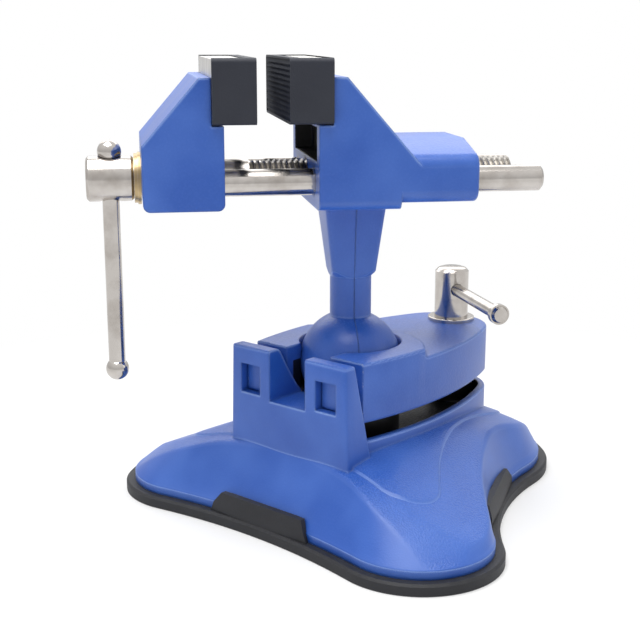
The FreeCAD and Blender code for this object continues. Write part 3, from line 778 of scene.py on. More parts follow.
@dataclass(frozen=True)
class LobedOutline:
    """Three round lobes joined by hollow waists, in millimetres along the base's own axis."""

    front_u: float
    front_v: float
    front_r: float
    rear_u: float
    rear_r: float
    front_waist_r: float = 230.0
    side_waist_r: float = 110.0
    lobe_steps: int = 30
    waist_steps: int = 22

    @staticmethod
    def _beside(a: Vector, b: Vector, reach_a: float, reach_b: float) -> Vector:
        """Point at two given distances from two centres, on the outer side.

        Args:
            a: First centre.
            b: Second centre.
            reach_a: Distance from the first centre.
            reach_b: Distance from the second centre.

        Returns:
            The point.
        """
        span = b - a
        along = (span.length ** 2 + reach_a ** 2 - reach_b ** 2) / (2.0 * span.length)
        across = math.sqrt(reach_a ** 2 - along ** 2)
        unit = span.normalized()
        return a + unit * along - Vector((-unit.y, unit.x)) * across

    def points(self, grow: float) -> list[Vector]:
        """Outline grown outwards, as points that match those of any other growth.

        Args:
            grow: How far the outline is moved outwards.

        Returns:
            The points, anticlockwise.
        """
        lobes = [(Vector((self.front_u, -self.front_v)), self.front_r),
                 (Vector((self.rear_u, 0.0)), self.rear_r),
                 (Vector((self.front_u, self.front_v)), self.front_r)]
        waists = (self.side_waist_r, self.side_waist_r, self.front_waist_r)
        hollows = []
        for index, waist in enumerate(waists):
            (a, a_r), (b, b_r) = lobes[index], lobes[(index + 1) % 3]
            hollows.append(self._beside(a, b, a_r + waist, b_r + waist))
        outline: list[Vector] = []
        for index, (lobe, lobe_r) in enumerate(lobes):
            before, after = hollows[index - 1], hollows[index]
            following, following_r = lobes[(index + 1) % 3]
            start = lobe + (before - lobe).normalized() * (lobe_r + grow)
            end = lobe + (after - lobe).normalized() * (lobe_r + grow)
            far = following + (after - following).normalized() * (following_r + grow)
            outline += arc_points(lobe, start, end, self.lobe_steps, 1)
            outline += arc_points(after, end, far, self.waist_steps, -1)
        return outline


@dataclass(frozen=True)
class EggOutline:
    """The clamp plate's and the pedestal's outline: straight front, bowed sides, round nose."""

    front_u: float = -23.5
    wide_u: float = 8.0
    half: float = 28.9
    side_r: float = 150.0
    tip_r: float = 20.0
    steps: int = 24

    def points(self, grow: float) -> list[Vector]:
        """Outline grown outwards, anticlockwise from the front's near corner.

        Args:
            grow: How far the outline is moved outwards.

        Returns:
            The points, anticlockwise.
        """
        centre_v = self.side_r - self.half
        nose = math.sqrt((self.side_r - self.tip_r) ** 2 - centre_v ** 2)
        tip = Vector((self.wide_u + nose, 0.0))
        low = Vector((self.wide_u, centre_v))
        high = Vector((self.wide_u, -centre_v))
        radius = self.side_r + grow
        front_u = self.front_u - grow
        bow = radius - math.sqrt(radius ** 2 - (self.wide_u - front_u) ** 2)
        front_half = self.half + grow - bow
        meet = tip + (tip - low).normalized() * (self.tip_r + grow)
        mirrored = Vector((meet.x, -meet.y))
        last = Vector((front_u, front_half))
        outline = arc_points(low, Vector((front_u, -front_half)), meet, self.steps, 1)
        outline += arc_points(tip, meet, mirrored, self.steps, 1)
        outline += arc_points(high, mirrored, last, self.steps, 1)
        return outline + [last]


# ------------------------------------------------------------------ scratch solids
def scratch_object(work: bmesh.types.BMesh, place: Matrix = BASE_FRAME) -> Object:
    """Turn a working mesh in millimetres into a linked object and free it.

    Args:
        work: The working mesh, freed here.
        place: Matrix from its millimetres to the vise's frame.

    Returns:
        The scratch object.
    """
    mesh = bpy.data.meshes.new("scratch")
    work.to_mesh(mesh)
    work.free()
    mesh.transform(place)
    return place_object("scratch", mesh)


def ring_solid(rings: Sequence[Sequence[Point]]) -> Object:
    """Closed solid through matching rings, with flat caps at both ends.

    Args:
        rings: Rings of (u, v, z) points in millimetres, from the bottom up.

    Returns:
        A scratch object that holds the solid.
    """
    work = bmesh.new()
    rows = [[work.verts.new(point) for point in ring] for ring in rings]
    count = len(rows[0])
    for lower, upper in zip(rows, rows[1:]):
        for step in range(count):
            ahead = (step + 1) % count
            work.faces.new((lower[step], lower[ahead], upper[ahead], upper[step]))
    work.faces.new(rows[0][::-1])
    work.faces.new(rows[-1])
    bmesh.ops.recalc_face_normals(work, faces=work.faces)
    return scratch_object(work)


def prism(outline: Sequence[Vector], low: float, high: float) -> Object:
    """Upright solid on an outline."""
    return ring_solid([[(p.x, p.y, z) for p in outline] for z in (low, high)])


def eased_prism(outline: Sequence[Vector], inset: Sequence[Vector], low: float, high: float,
                round_off: float) -> Object:
    """Upright solid on an outline, its upper edge rounded in to an inset outline.

    Args:
        outline: Outline of the sides.
        inset: Outline of the top, point for point.
        low: Height of the foot.
        high: Height of the top.
        round_off: Height of the rounding.

    Returns:
        A scratch object.
    """
    rings = [[(p.x, p.y, low) for p in outline]]
    for share in (0.0, 0.3, 0.7, 1.0):
        lean = 1.0 - math.cos(share * math.pi / 2.0)
        z = high - round_off * (1.0 - math.sin(share * math.pi / 2.0))
        eased = [p.lerp(q, lean) for p, q in zip(outline, inset)]
        rings.append([(p.x, p.y, z) for p in eased])
    return ring_solid(rings)


def brick(low: Point, high: Point, place: Matrix = BASE_FRAME) -> Object:
    """Plain box between two corners, in millimetres, used only to cut or to join.

    Args:
        low: Lowest corner.
        high: Highest corner.
        place: Matrix from its millimetres to the vise's frame.

    Returns:
        A scratch object.
    """
    work = bmesh.new()
    for vert in bmesh.ops.create_cube(work, size=1.0)["verts"]:
        vert.co = Vector([low[axis] + (vert.co[axis] + 0.5) * (high[axis] - low[axis])
                          for axis in range(3)])
    return scratch_object(work, place)


def side_prism(profile: Sequence[Flat], near: float, far: float) -> Object:
    """Profile of (u, z) points pushed across from v = near to v = far."""
    return ring_solid([[(u, v, z) for u, z in profile] for v in (near, far)])


def ball(centre: Point, radius: float) -> Object:
    """Round cutter.

    Args:
        centre: Its middle, in millimetres.
        radius: Its radius.

    Returns:
        A scratch object.
    """
    work = bmesh.new()
    bmesh.ops.create_uvsphere(work, u_segments=64, v_segments=48, radius=radius,
                              matrix=Matrix.Translation(centre))
    return scratch_object(work)


class Join(Enum):
    """How one solid acts on another."""

    ADD = "UNION"
    CUT = "DIFFERENCE"


def combine(target: Object, how: Join, *tools: Object) -> Object:
    """Join or cut a solid with others, which are used up.

    Args:
        target: The solid that changes.
        how: What the tools do to it.
        tools: Scratch solids.

    Returns:
        The same object with its new mesh.
    """
    for tool in tools:
        modifier = target.modifiers.new("join", "BOOLEAN")
        modifier.operation = how.value
        modifier.solver = "EXACT"
        modifier.object = tool
        mesh = evaluated_mesh(target)
        target.modifiers.remove(modifier)
        target.data = mesh
        bpy.data.objects.remove(tool)
    return target


def merge_corners(work: bmesh.types.BMesh) -> None:
    """Merge doubled corners and drop faces without area."""
    bmesh.ops.remove_doubles(work, verts=work.verts, dist=MERGE_COARSE)
    bmesh.ops.dissolve_degenerate(work, dist=MERGE_FINE, edges=work.edges)


def node_copy(node: str) -> Object:
    """Closed copy of a CAD node's mesh as a scratch object.

    Args:
        node: The CAD node's name.

    Returns:
        A scratch object.
    """
    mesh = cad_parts[node].data.copy()
    with editing(mesh) as work:
        merge_corners(work)
    return place_object(node + "_copy", mesh)


def mark_painted_shade(obj: Object, place: Matrix, is_shaded: Callable[[Vector], bool]) -> None:
    """Mark faces that get a near-black painted shade, standing for the deep shade inside hollows.

    Args:
        obj: The solid whose faces are marked.
        place: Matrix from the test's millimetres to the vise's frame.
        is_shaded: Test of a face's middle.
    """
    painted_shade = obj.data.attributes.new(SHADE_MARK, "FLOAT", "CORNER")
    back = place.inverted()
    for polygon in obj.data.polygons:
        if is_shaded(back @ polygon.center):
            for loop in polygon.loop_indices:
                painted_shade.data[loop].value = 1.0


def settle(obj: Object, name: str, material: Material, body: str,
           node: str) -> Object:
    """Clean a joined solid, dress it and let it stand for a CAD node.

    Args:
        obj: The joined solid.
        name: The finished piece's name.
        material: Its finish.
        body: The body that it rides on.
        node: The CAD node that it stands for.

    Returns:
        The finished piece.
    """
    with editing(obj.data) as work:
        merge_corners(work)
        bmesh.ops.triangulate(work, faces=work.faces)
    shade(obj.data, 30.0)
    obj.name = name
    obj.data.name = name
    finish_piece(obj, material, body)
    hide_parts(node)
    return obj


# ------------------------------------------------------------------ the base
@dataclass(frozen=True)
class Crown:
    """Height of the base's crown over the plan: a dome under a shallow roof, eased at bends."""

    dome_u: float = 7.5
    dome: tuple[Flat, ...] = ((0.0, 30.8), (32.0, 30.0), (62.0, 24.4), (86.0, 11.4),
                              (112.0, -16.0))
    ridge: float = 32.5
    eave: float = 29.5
    eave_v: float = 33.0
    fall: float = 0.42
    window: tuple[float, ...] = (-10.0, -5.0, 0.0, 5.0, 10.0)
    roof_window: float = 0.6

    def _dome(self, distance: float) -> float:
        """Height of the dome's straight-sided profile at a distance from its middle.

        Args:
            distance: Distance from the dome's middle.

        Returns:
            The height.
        """
        for (r0, z0), (r1, z1) in zip(self.dome, self.dome[1:]):
            if distance <= r1:
                return z0 + (z1 - z0) * (distance - r0) / (r1 - r0)
        return self.dome[-1][1]

    def _roof(self, across: float) -> float:
        """Height of the roof at a distance from its ridge.

        Args:
            across: Distance from the ridge.

        Returns:
            The height.
        """
        if across < self.eave_v:
            return self.ridge + (self.eave - self.ridge) * across / self.eave_v
        return self.eave - self.fall * (across - self.eave_v)

    def height(self, plan: Vector) -> float:
        """Height over a plan point, as the mean of heights a little way round it.

        Args:
            plan: The plan point.

        Returns:
            The height.
        """
        distance = math.hypot(plan.x - self.dome_u, plan.y)
        dome = sum(self._dome(abs(distance + shift)) for shift in self.window)
        roof = sum(self._roof(abs(plan.y + self.roof_window * shift)) for shift in self.window)
        return min(dome, roof) / len(self.window)


@dataclass(frozen=True)
class CastingSkin:
    """One skin of the base: up the skirt, over the rounded crest and in to the middle.

    Lengths are in millimetres along the base's own axis. The outer skin has a tier_rise, the
    height of the raised field inside the tier outline. The skin of the room below has none.
    """

    grow: float
    low: float
    drop: float = 0.0
    cap: float = math.inf
    tier_rise: float = 0.0
    foot: LobedOutline = LobedOutline(-27.3, 52.9, 30.0, 55.4, 46.4)
    crest: LobedOutline = LobedOutline(-8.7, 34.3, 27.6, 45.4, 38.4)
    tier: LobedOutline = LobedOutline(-22.9, 44.4, 12.0, 55.4, 27.0)
    tier_edge: tuple[Flat, ...] = ((0.35, 0.5), (0.7, 0.92), (1.1, 1.0))
    tier_fade: float = 2.5
    crown: Crown = Crown()
    middle: Flat = (20.0, 0.0)
    skirt_top: float = 34.0
    crest_round: float = 1.8
    crest_gap: float = 0.4
    bends: int = 6
    halvings: int = 24
    plain_rings: int = 14
    slope_rings: int = 5
    field_rings: int = 9

    def _on_crown(self, plan: Vector, lift: float = 0.0) -> Vector:
        """Point of the skin over a plan point."""
        height = min(self.crown.height(plan) - self.drop, self.cap)
        return Vector((plan.x, plan.y, height + lift))

    def _on_skirt(self, start: Vector, end: Vector, share: float) -> Vector:
        """Point of the skirt at a share of its full height."""
        plan = start.lerp(end, share)
        return Vector((plan.x, plan.y, self.low + (self.skirt_top - self.low) * share))

    def _crest_share(self, start: Vector, end: Vector) -> float:
        """Share of the skirt's full height at which it meets the crown.

        Args:
            start: Plan point at the skirt's foot.
            end: Plan point of the skirt at its full height.

        Returns:
            The share, from 0 to 1.
        """
        below, above = 0.0, 1.0
        for _ in range(self.halvings):
            share = (below + above) / 2.0
            point = self._on_skirt(start, end, share)
            if point.z < self._on_crown(point.xy).z:
                below = share
            else:
                above = share
        return below

    def _tier_reach(self, outline: Sequence[Vector], ray: Vector) -> float:
        """Distance from the middle to the tier's outline along a ray.

        Args:
            outline: Outline of the raised field.
            ray: Direction of the ray.

        Returns:
            The distance.
        """
        best = 0.0
        middle = Vector(self.middle)
        for p, q in sides_of(outline):
            a, b = p - middle, q - middle
            before = a.x * ray.y - a.y * ray.x
            after = ray.x * b.y - ray.y * b.x
            turn = a.x * b.y - a.y * b.x
            if turn > 0.0 and before >= 0.0 and after >= 0.0 and before + after > 0.0:
                best = max(best, turn / (before + after))
        return best

    def _stations(self, limit: float, edge: float) -> list[Flat]:
        """Distances from the middle, from the crest inwards, each with its lift.

        Args:
            limit: Distance of the first station.
            edge: Distance of the raised field's edge.

        Returns:
            The stations in order.
        """
        if not self.tier_rise:
            return [(limit * (1.0 - step / self.plain_rings), 0.0)
                    for step in range(self.plain_rings)]
        lift = self.tier_rise * min(max((limit - edge) / self.tier_fade, 0.0), 1.0)
        edge = min(edge, limit)
        raised = edge - self.tier_edge[-1][0]
        return ([(limit + (edge - limit) * step / self.slope_rings, 0.0)
                 for step in range(self.slope_rings + 1)]
                + [(edge - inset, lift * share) for inset, share in self.tier_edge]
                + [(raised * (1.0 - step / self.field_rings), lift)
                   for step in range(1, self.field_rings)])

    def _column(self, start: Vector, end: Vector, tier: Sequence[Vector]) -> list[Vector]:
        """Points of one upright section.

        Args:
            start: Plan point at the skirt's foot.
            end: Plan point of the skirt at its full height.
            tier: Outline of the raised field.

        Returns:
            The points from the foot to the middle.
        """
        share = self._crest_share(start, end)
        corner = self._on_skirt(start, end, share)
        slant = math.hypot((end - start).length, self.skirt_top - self.low)
        eased = max(share - self.crest_round / slant, 0.0)
        section = [self._on_skirt(start, end, eased * step / self.bends)
                   for step in range(self.bends + 1)]
        last = section[-1]
        inward = Vector(self.middle) - corner.xy
        limit = inward.length - self.crest_round - self.crest_gap
        inward.normalize()
        over = self._on_crown(corner.xy + inward * self.crest_round)
        for step in range(1, self.bends):
            way = step / self.bends
            section.append(last * (1 - way) ** 2 + corner * 2 * way * (1 - way) + over * way ** 2)
        edge = self._tier_reach(tier, -inward) if self.tier_rise else 0.0
        section += [self._on_crown(Vector(self.middle) - inward * at, lift)
                    for at, lift in self._stations(limit, edge)]
        return section

    def rings(self) -> list[tuple[Vector, ...]]:
        """Rings of the skin, from the skirt's foot to the middle.

        Returns:
            The rings, from the bottom up.
        """
        tier = self.tier.points(0.0)
        ends = zip(self.foot.points(self.grow), self.crest.points(self.grow))
        return list(zip(*[self._column(start, end, tier) for start, end in ends]))


@dataclass
class BaseCasting:
    """The base casting: skirt, crown, hollow pedestal with bosses, and the pronged block."""

    finishes: Finishes
    egg: EggOutline = EggOutline()
    pad_top: float = 4.0
    band_top: float = 7.6
    band_inset: float = 3.5
    band_gap: float = 0.5
    skirt_inset: float = 4.0
    tier_rise: float = 0.7
    wall: float = 4.0
    room_top: float = 22.0
    pedestal_foot: float = 12.0
    pedestal_top: float = 34.0
    pedestal_round: float = 0.7
    rim: float = 2.6
    well_floor: float = 26.0
    well_margin: float = 0.5
    boss_margin: float = 0.8
    clear_above: float = 3.0
    clear_below: float = 2.0
    boss_foot: float = 20.0
    ball_z: float = 55.0
    ball_room_r: float = 21.7
    ball_boss_r: float = 18.7
    ball_boss_top: float = 41.7
    screw_at: Flat = (65.0, 0.0)
    screw_boss_r: float = 9.5
    screw_hole_r: float = 5.1
    screw_hole_top: float = 60.0
    nut_room_r: float = 8.6
    nut_room_top: float = 25.6
    lever_room_inset: float = 1.6
    lever_room_top: float = 24.0
    lug_low: Point = (-32.5, 8.8, 8.5)
    lug_high: Point = (-19.5, 12.8, 25.0)
    block_front: float = -35.0
    block_back_foot: float = -20.5
    block_back_top: float = -29.6
    block_half_foot: float = 28.5
    block_half_top: float = 27.2
    block_foot: float = 22.0
    block_top: float = 63.4
    block_round: float = 0.9
    slot_half: float = 8.6
    slot_floor: float = 44.8
    rib_far: float = 10.0
    rib_profile: tuple[Flat, ...] = ((-30.5, 30.0), (-18.0, 30.0), (-18.0, 45.7), (-19.9, 47.7),
                                     (-23.1, 52.3), (-26.4, 57.7), (-29.0, 62.4), (-30.5, 62.4))
    tongue_front: float = -31.0
    tongue_back: float = -18.0
    tongue_foot: float = 25.0
    window_low: Point = (-45.0, 13.4, 46.0)
    window_high: Point = (-10.0, 22.8, 56.8)
    slot_reach: Flat = (-45.0, -10.0)
    slot_top: float = 75.0

    def _pair(self, low: Point, high: Point) -> list[Object]:
        """The same box on both sides of the base's axis.

        Args:
            low: Lowest corner of the box on the far side.
            high: Its highest corner.

        Returns:
            Both boxes, as scratch objects.
        """
        near, far = low[1], high[1]
        return [brick((low[0], a, low[2]), (high[0], b, high[2]))
                for a, b in ((near, far), (-far, -near))]

    def _block(self) -> Object:
        """Front block that ends in two windowed prongs, with ribs beside its slot.

        Returns:
            A scratch object.
        """
        rings = []
        for half, back, z in ((self.block_half_foot, self.block_back_foot, self.block_foot),
                              (self.block_half_top, self.block_back_top, self.block_top)):
            rings.append([(self.block_front, -half, z), (back, -half, z), (back, half, z),
                          (self.block_front, half, z)])
        body = ring_solid(rings)
        with editing(body.data) as work:
            foot_z = self.block_foot * MM + 1e-5
            edges = [edge for edge in work.edges
                     if max(vert.co.z for vert in edge.verts) > foot_z]
            bmesh.ops.bevel(work, geom=edges, offset=self.block_round * MM, segments=3,
                            profile=0.5, affect="EDGES")
        tongue = brick((self.tongue_front, -self.rib_far, self.tongue_foot),
                       (self.tongue_back, self.rib_far, self.slot_floor))
        ribs = [side_prism(self.rib_profile, near, far)
                for near, far in ((-self.rib_far, -self.slot_half),
                                  (self.slot_half, self.rib_far))]
        slot = brick((self.slot_reach[0], -self.slot_half, self.slot_floor),
                     (self.slot_reach[1], self.slot_half, self.slot_top))
        body = combine(body, Join.ADD, tongue, *ribs)
        return combine(body, Join.CUT, slot, *self._pair(self.window_low, self.window_high))

    def _shell(self) -> Object:
        """Skirt, crown and pedestal with its well and bosses, and the block, solid below.

        Returns:
            A scratch object.
        """
        skin = CastingSkin(-self.skirt_inset, self.band_top, tier_rise=self.tier_rise)
        band = skin.foot.points(-self.band_inset)
        rings = [[(p.x, p.y, z) for p in band]
                 for z in (self.pad_top, self.band_top - self.band_gap)]
        body = ring_solid(rings + skin.rings())
        body = combine(body, Join.ADD, eased_prism(
            self.egg.points(0.0), self.egg.points(-self.pedestal_round), self.pedestal_foot,
            self.pedestal_top, self.pedestal_round))
        body = combine(body, Join.CUT, prism(self.egg.points(-self.rim), self.well_floor,
                                             self.pedestal_top + self.clear_above))
        ball_boss = disc((0.0, 0.0), self.ball_boss_r, FINE_DISC)
        screw_boss = disc(self.screw_at, self.screw_boss_r)
        return combine(body, Join.ADD, prism(ball_boss, self.boss_foot, self.ball_boss_top),
                       prism(screw_boss, self.boss_foot, self.pedestal_top), self._block())

    def _rooms(self) -> list[Object]:
        """Cutters of the underside, of the lever's, nut's and ball's rooms and of the hole.

        Returns:
            The cutters, as scratch objects.
        """
        skin = CastingSkin(-self.skirt_inset - self.wall, self.pad_top, self.wall,
                           self.room_top).rings()
        foot = self.pad_top - self.clear_below
        below = [(x, y, foot) for x, y, z in skin[0]]
        lever_room = self.egg.points(-self.lever_room_inset)
        return [ring_solid([below] + skin),
                prism(lever_room, foot, self.lever_room_top),
                prism(disc(self.screw_at, self.nut_room_r), self.boss_foot, self.nut_room_top),
                ball((0.0, 0.0, self.ball_z), self.ball_room_r),
                prism(disc(self.screw_at, self.screw_hole_r), self.boss_foot,
                      self.screw_hole_top)]

    def build(self) -> None:
        """Build the casting and let it stand for the CAD housing."""
        body = combine(self._shell(), Join.CUT, *self._rooms())
        body = combine(body, Join.ADD, *self._pair(self.lug_low, self.lug_high))
        casting = settle(body, "base_casting", self.finishes.base_paint, "base",
                         "base_housing")
        # Faces inside the pedestal's well get a near-black painted shade.
        well = self.egg.points(MARK_MARGIN - self.rim)

        def in_well(point: Vector) -> bool:
            """True on the well's floor and walls and on the sides of its bosses.

            Args:
                point: A face's middle, in millimetres.

            Returns:
                Whether it gets the near-black painted shade.
            """
            on_boss = math.hypot(point.x, point.y) < self.ball_boss_r + self.boss_margin
            top = (self.ball_boss_top if on_boss else self.pedestal_top) - MARK_MARGIN
            return self.well_floor - self.well_margin < point.z < top and encloses(well, point)

        mark_painted_shade(casting, BASE_FRAME, in_well)


@dataclass
class ClampPlate:
    """The clamp plate as a hollow casting with a wide slot for the neck."""

    finishes: Finishes
    egg: EggOutline = EggOutline()
    outer_wall: float = 3.4
    top_wall: float = 5.8
    top: float = 62.5
    cut_foot: float = 30.0
    screw_at: Flat = (65.0, 0.0)
    screw_boss_r: float = 10.5
    screw_boss_foot: float = 20.0
    screw_boss_top: float = 70.0
    grip_r: float = 22.6
    slot_low: Point = (-32.0, -10.6, 30.0)
    slot_high: Point = (0.0, 10.6, 80.0)
    mark_low: float = 40.5

    def build(self) -> None:
        """Hollow the plate and let it stand for the CAD one."""
        ceiling = self.top - self.top_wall
        cavity = prism(self.egg.points(-self.outer_wall), self.cut_foot, ceiling)
        cavity = combine(cavity, Join.CUT,
                         prism(disc(self.screw_at, self.screw_boss_r), self.screw_boss_foot,
                               self.screw_boss_top),
                         prism(disc((0.0, 0.0), self.grip_r, FINE_DISC), self.cut_foot, self.top))
        body = combine(node_copy("clamp_plate"), Join.CUT, cavity,
                       brick(self.slot_low, self.slot_high))
        casting = settle(body, "clamp_plate_casting", self.finishes.plate_paint, "plate",
                         "clamp_plate")
        # Faces inside the plate's cavity get a near-black painted shade.
        room = self.egg.points(MARK_MARGIN - self.outer_wall)
        mark_painted_shade(casting, BASE_FRAME,
                 lambda point: self.mark_low < point.z < ceiling + MARK_MARGIN
                 and encloses(room, point))


@dataclass
class SuctionPad:
    """The rubber pad with its low ears laid against the casting's steep waists."""

    finishes: Finishes
    band_top: float = 7.6
    ear_top: float = 13.5
    new_top: float = 11.2
    old_lean: float = 0.88
    new_lean: float = 0.45
    hub_u: float = 12.0
    still: float = 0.01
    waists: tuple[float, ...] = (180.0, -66.0, 66.0)

    def build(self) -> None:
        """Lower and straighten the ears."""
        pad = node_copy("suction_pad")
        turn = Matrix.Rotation(-BASE_BEARING, 4, "Z")
        back = turn.inverted()
        squeeze = (self.new_top - self.band_top) / (self.ear_top - self.band_top)
        for vertex in pad.data.vertices:
            rise = vertex.co.z / MM - self.band_top
            if rise <= self.still:
                continue
            place = turn @ vertex.co
            bearing = math.degrees(math.atan2(place.y, place.x - self.hub_u * MM))
            nearest = math.radians(min(
                self.waists, key=lambda waist: abs((bearing - waist + 180.0) % 360.0 - 180.0)))
            out = self.old_lean * rise - self.new_lean * rise * squeeze
            place += Vector((math.cos(nearest), math.sin(nearest), 0.0)) * out * MM
            place.z = (self.band_top + rise * squeeze) * MM
            vertex.co = back @ place
        settle(pad, "suction_pad_rubber", self.finishes.pad_rubber, "base",
               "suction_pad")


# ------------------------------------------------------------------ the head
@dataclass
class FixedJaw:
    """The fixed jaw's casting, with a hollow in its face below the cover that gets a near-black
    painted shade.
    """

    finishes: Finishes
    half: float = 27.0
    low: float = 131.8
    high: float = 143.4
    depth: float = 9.0
    clear: float = 1.0

    def build(self) -> None:
        """Open the hollow and let the casting stand for the CAD one."""
        face_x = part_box("vise_body")[0][0] / MM
        hollow = brick((face_x - self.clear, -self.half, self.low),
                       (face_x + self.depth, self.half, self.high), HEAD_FRAME)
        body = combine(node_copy("vise_body"), Join.CUT, hollow)
        casting = settle(body, "vise_body_casting", self.finishes.head_paint, "head",
                         "vise_body")

        def in_hollow(point: Vector) -> bool:
            """True on the hollow's walls and back."""
            return (self.low - MARK_MARGIN < point.z < self.high + MARK_MARGIN
                    and abs(point.y) < self.half + MARK_MARGIN
                    and face_x + MARK_MARGIN < point.x < face_x + self.depth + MARK_MARGIN)

        # Faces of the hollow get a near-black painted shade.
        mark_painted_shade(casting, HEAD_FRAME, in_hollow)


@dataclass(frozen=True)
class Jaw:
    """One side of the vise: its body and the way in which its cover faces along X."""

    side: str
    body: str
    facing: float

    @property
    def cover(self) -> str:
        """Name of the rubber cover's CAD node."""
        return self.side + "_jaw_cover"

    @property
    def plate(self) -> str:
        """Name of the steel plate's CAD node."""
        return self.side + "_jaw_plate"

    @property
    def face_x(self) -> float:
        """Place of the clamping face along X."""
        low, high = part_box(self.cover)
        return high[0] if self.facing > 0 else low[0]


@dataclass
class JawCap:
    """A rubber cover open at the top, with its steel plate flush in it."""

    finishes: Finishes
    jaw: Jaw
    top_gap: float = 0.0004
    tread_depth: float = 0.00045
    border: float = 0.0007
    overlap: float = 0.001
    top_depth: float = 0.0001

    def _cutter(self, low: Sequence[float], high: Sequence[float]) -> Object:
        """Box between two corners in metres."""
        return brick(tuple(value / MM for value in low), tuple(value / MM for value in high),
                     HEAD_FRAME)

    def build(self) -> None:
        """Open the cover's top, sink its face and bring the plate up to its top."""
        jaw, kit = self.jaw, self.finishes
        low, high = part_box(jaw.plate)
        cover_low, cover_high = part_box(jaw.cover)
        opening = self._cutter((low[0], low[1], high[2] - self.overlap),
                               (high[0], high[1], cover_high[2] + 2 * self.overlap))
        near, far = sorted((jaw.face_x + jaw.facing * self.overlap,
                            jaw.face_x - jaw.facing * self.tread_depth))
        pocket = self._cutter((near, cover_low[1] + self.border, cover_low[2] + self.border),
                              (far, cover_high[1] - self.border, cover_high[2] - self.border))
        cover = combine(node_copy(jaw.cover), Join.CUT, opening, pocket)
        settle(cover, jaw.cover + "_rubber", kit.jaw_rubber, jaw.body, jaw.cover)
        plate = node_copy(jaw.plate)
        for vertex in plate.data.vertices:
            if vertex.co.z > high[2] - self.top_depth:
                vertex.co.z = cover_high[2] - self.top_gap
        settle(plate, jaw.plate + "_steel", kit.jaw_steel, jaw.body, jaw.plate)


@dataclass
class JawTread:
    """Rows of small blunt pyramids on the clamping face of a rubber cover."""

    finishes: Finishes
    jaw: Jaw
    pitch_y: float = 0.0025
    pitch_z: float = 0.0017
    height: float = 0.00045
    margin: float = 0.0022
    tooth_share: float = 0.56
    squash: float = 1.9

    @staticmethod
    @cache
    def _tree() -> NodeTree:
        """Geometry tree that sets a pyramid on each point of a staggered grid.

        Returns:
            The geometry tree.
        """
        sheet, given, sink = new_group(
            "jaw_tread",
            {"Width": 0.06, "Height": 0.02, "Columns": 20, "Rows": 10, "Tooth": 0.001,
             "Rise": 0.0005, "Squash": 0.7, "Stagger": 0.001, "Material": Socket.MATERIAL},
            {"Geometry": Socket.GEOMETRY}, kind="GeometryNodeTree")
        grid = sheet.add("GeometryNodeMeshGrid")
        sheet.feed(grid, Size_X=given["Width"], Size_Y=given["Height"],
                   Vertices_X=given["Columns"], Vertices_Y=given["Rows"])
        index = sheet.add("GeometryNodeInputIndex").outputs[0]
        odd = sheet.math("MODULO", sheet.math("MODULO", index, given["Rows"]), 2.0)
        offset = sheet.add("ShaderNodeCombineXYZ")
        sheet.feed(offset, X=sheet.times(odd, given["Stagger"]), Y=0.0, Z=0.0)
        moved = sheet.add("GeometryNodeSetPosition")
        sheet.feed(moved, Geometry=grid.outputs["Mesh"], Offset=offset.outputs[0])
        tooth = sheet.add("GeometryNodeMeshCone")
        sheet.feed(tooth, Vertices=4, Radius_Top=sheet.times(given["Tooth"], 0.22),
                   Radius_Bottom=given["Tooth"], Depth=given["Rise"])
        size = sheet.add("ShaderNodeCombineXYZ")
        sheet.feed(size, X=1.0, Y=given["Squash"], Z=1.0)
        spread = sheet.add("GeometryNodeInstanceOnPoints")
        sheet.feed(spread, Points=moved.outputs[0], Instance=tooth.outputs["Mesh"],
                   Scale=size.outputs[0])
        sheet.close_geometry(sink, spread.outputs[0], given["Material"])
        return sheet.tree

    def build(self) -> None:
        """Build the tread on the cover's clamping face."""
        jaw = self.jaw
        low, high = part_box(jaw.cover)
        width = high[1] - low[1] - 2 * self.margin - self.pitch_y / 2
        height = high[2] - low[2] - 2 * self.margin
        tread = run_tree(jaw.cover + "_tread", self._tree(), {
            "Width": width, "Height": height, "Columns": int(width / self.pitch_y) + 1,
            "Rows": int(height / self.pitch_z) + 1, "Tooth": self.pitch_y * self.tooth_share,
            "Rise": self.height, "Squash": self.pitch_z / self.pitch_y * self.squash,
            "Stagger": self.pitch_y / 2, "Material": self.finishes.jaw_rubber})
        root_x = jaw.face_x - jaw.facing * self.height
        middle_y = (low[1] + high[1]) / 2 - jaw.facing * self.pitch_y / 4
        tread.data.transform(Matrix((
            (0.0, 0.0, jaw.facing, root_x), (jaw.facing, 0.0, 0.0, middle_y),
            (0.0, 1.0, 0.0, (low[2] + high[2]) / 2), (0.0, 0.0, 0.0, 1.0))))
        finish_piece(tread, self.finishes.jaw_rubber, jaw.body)


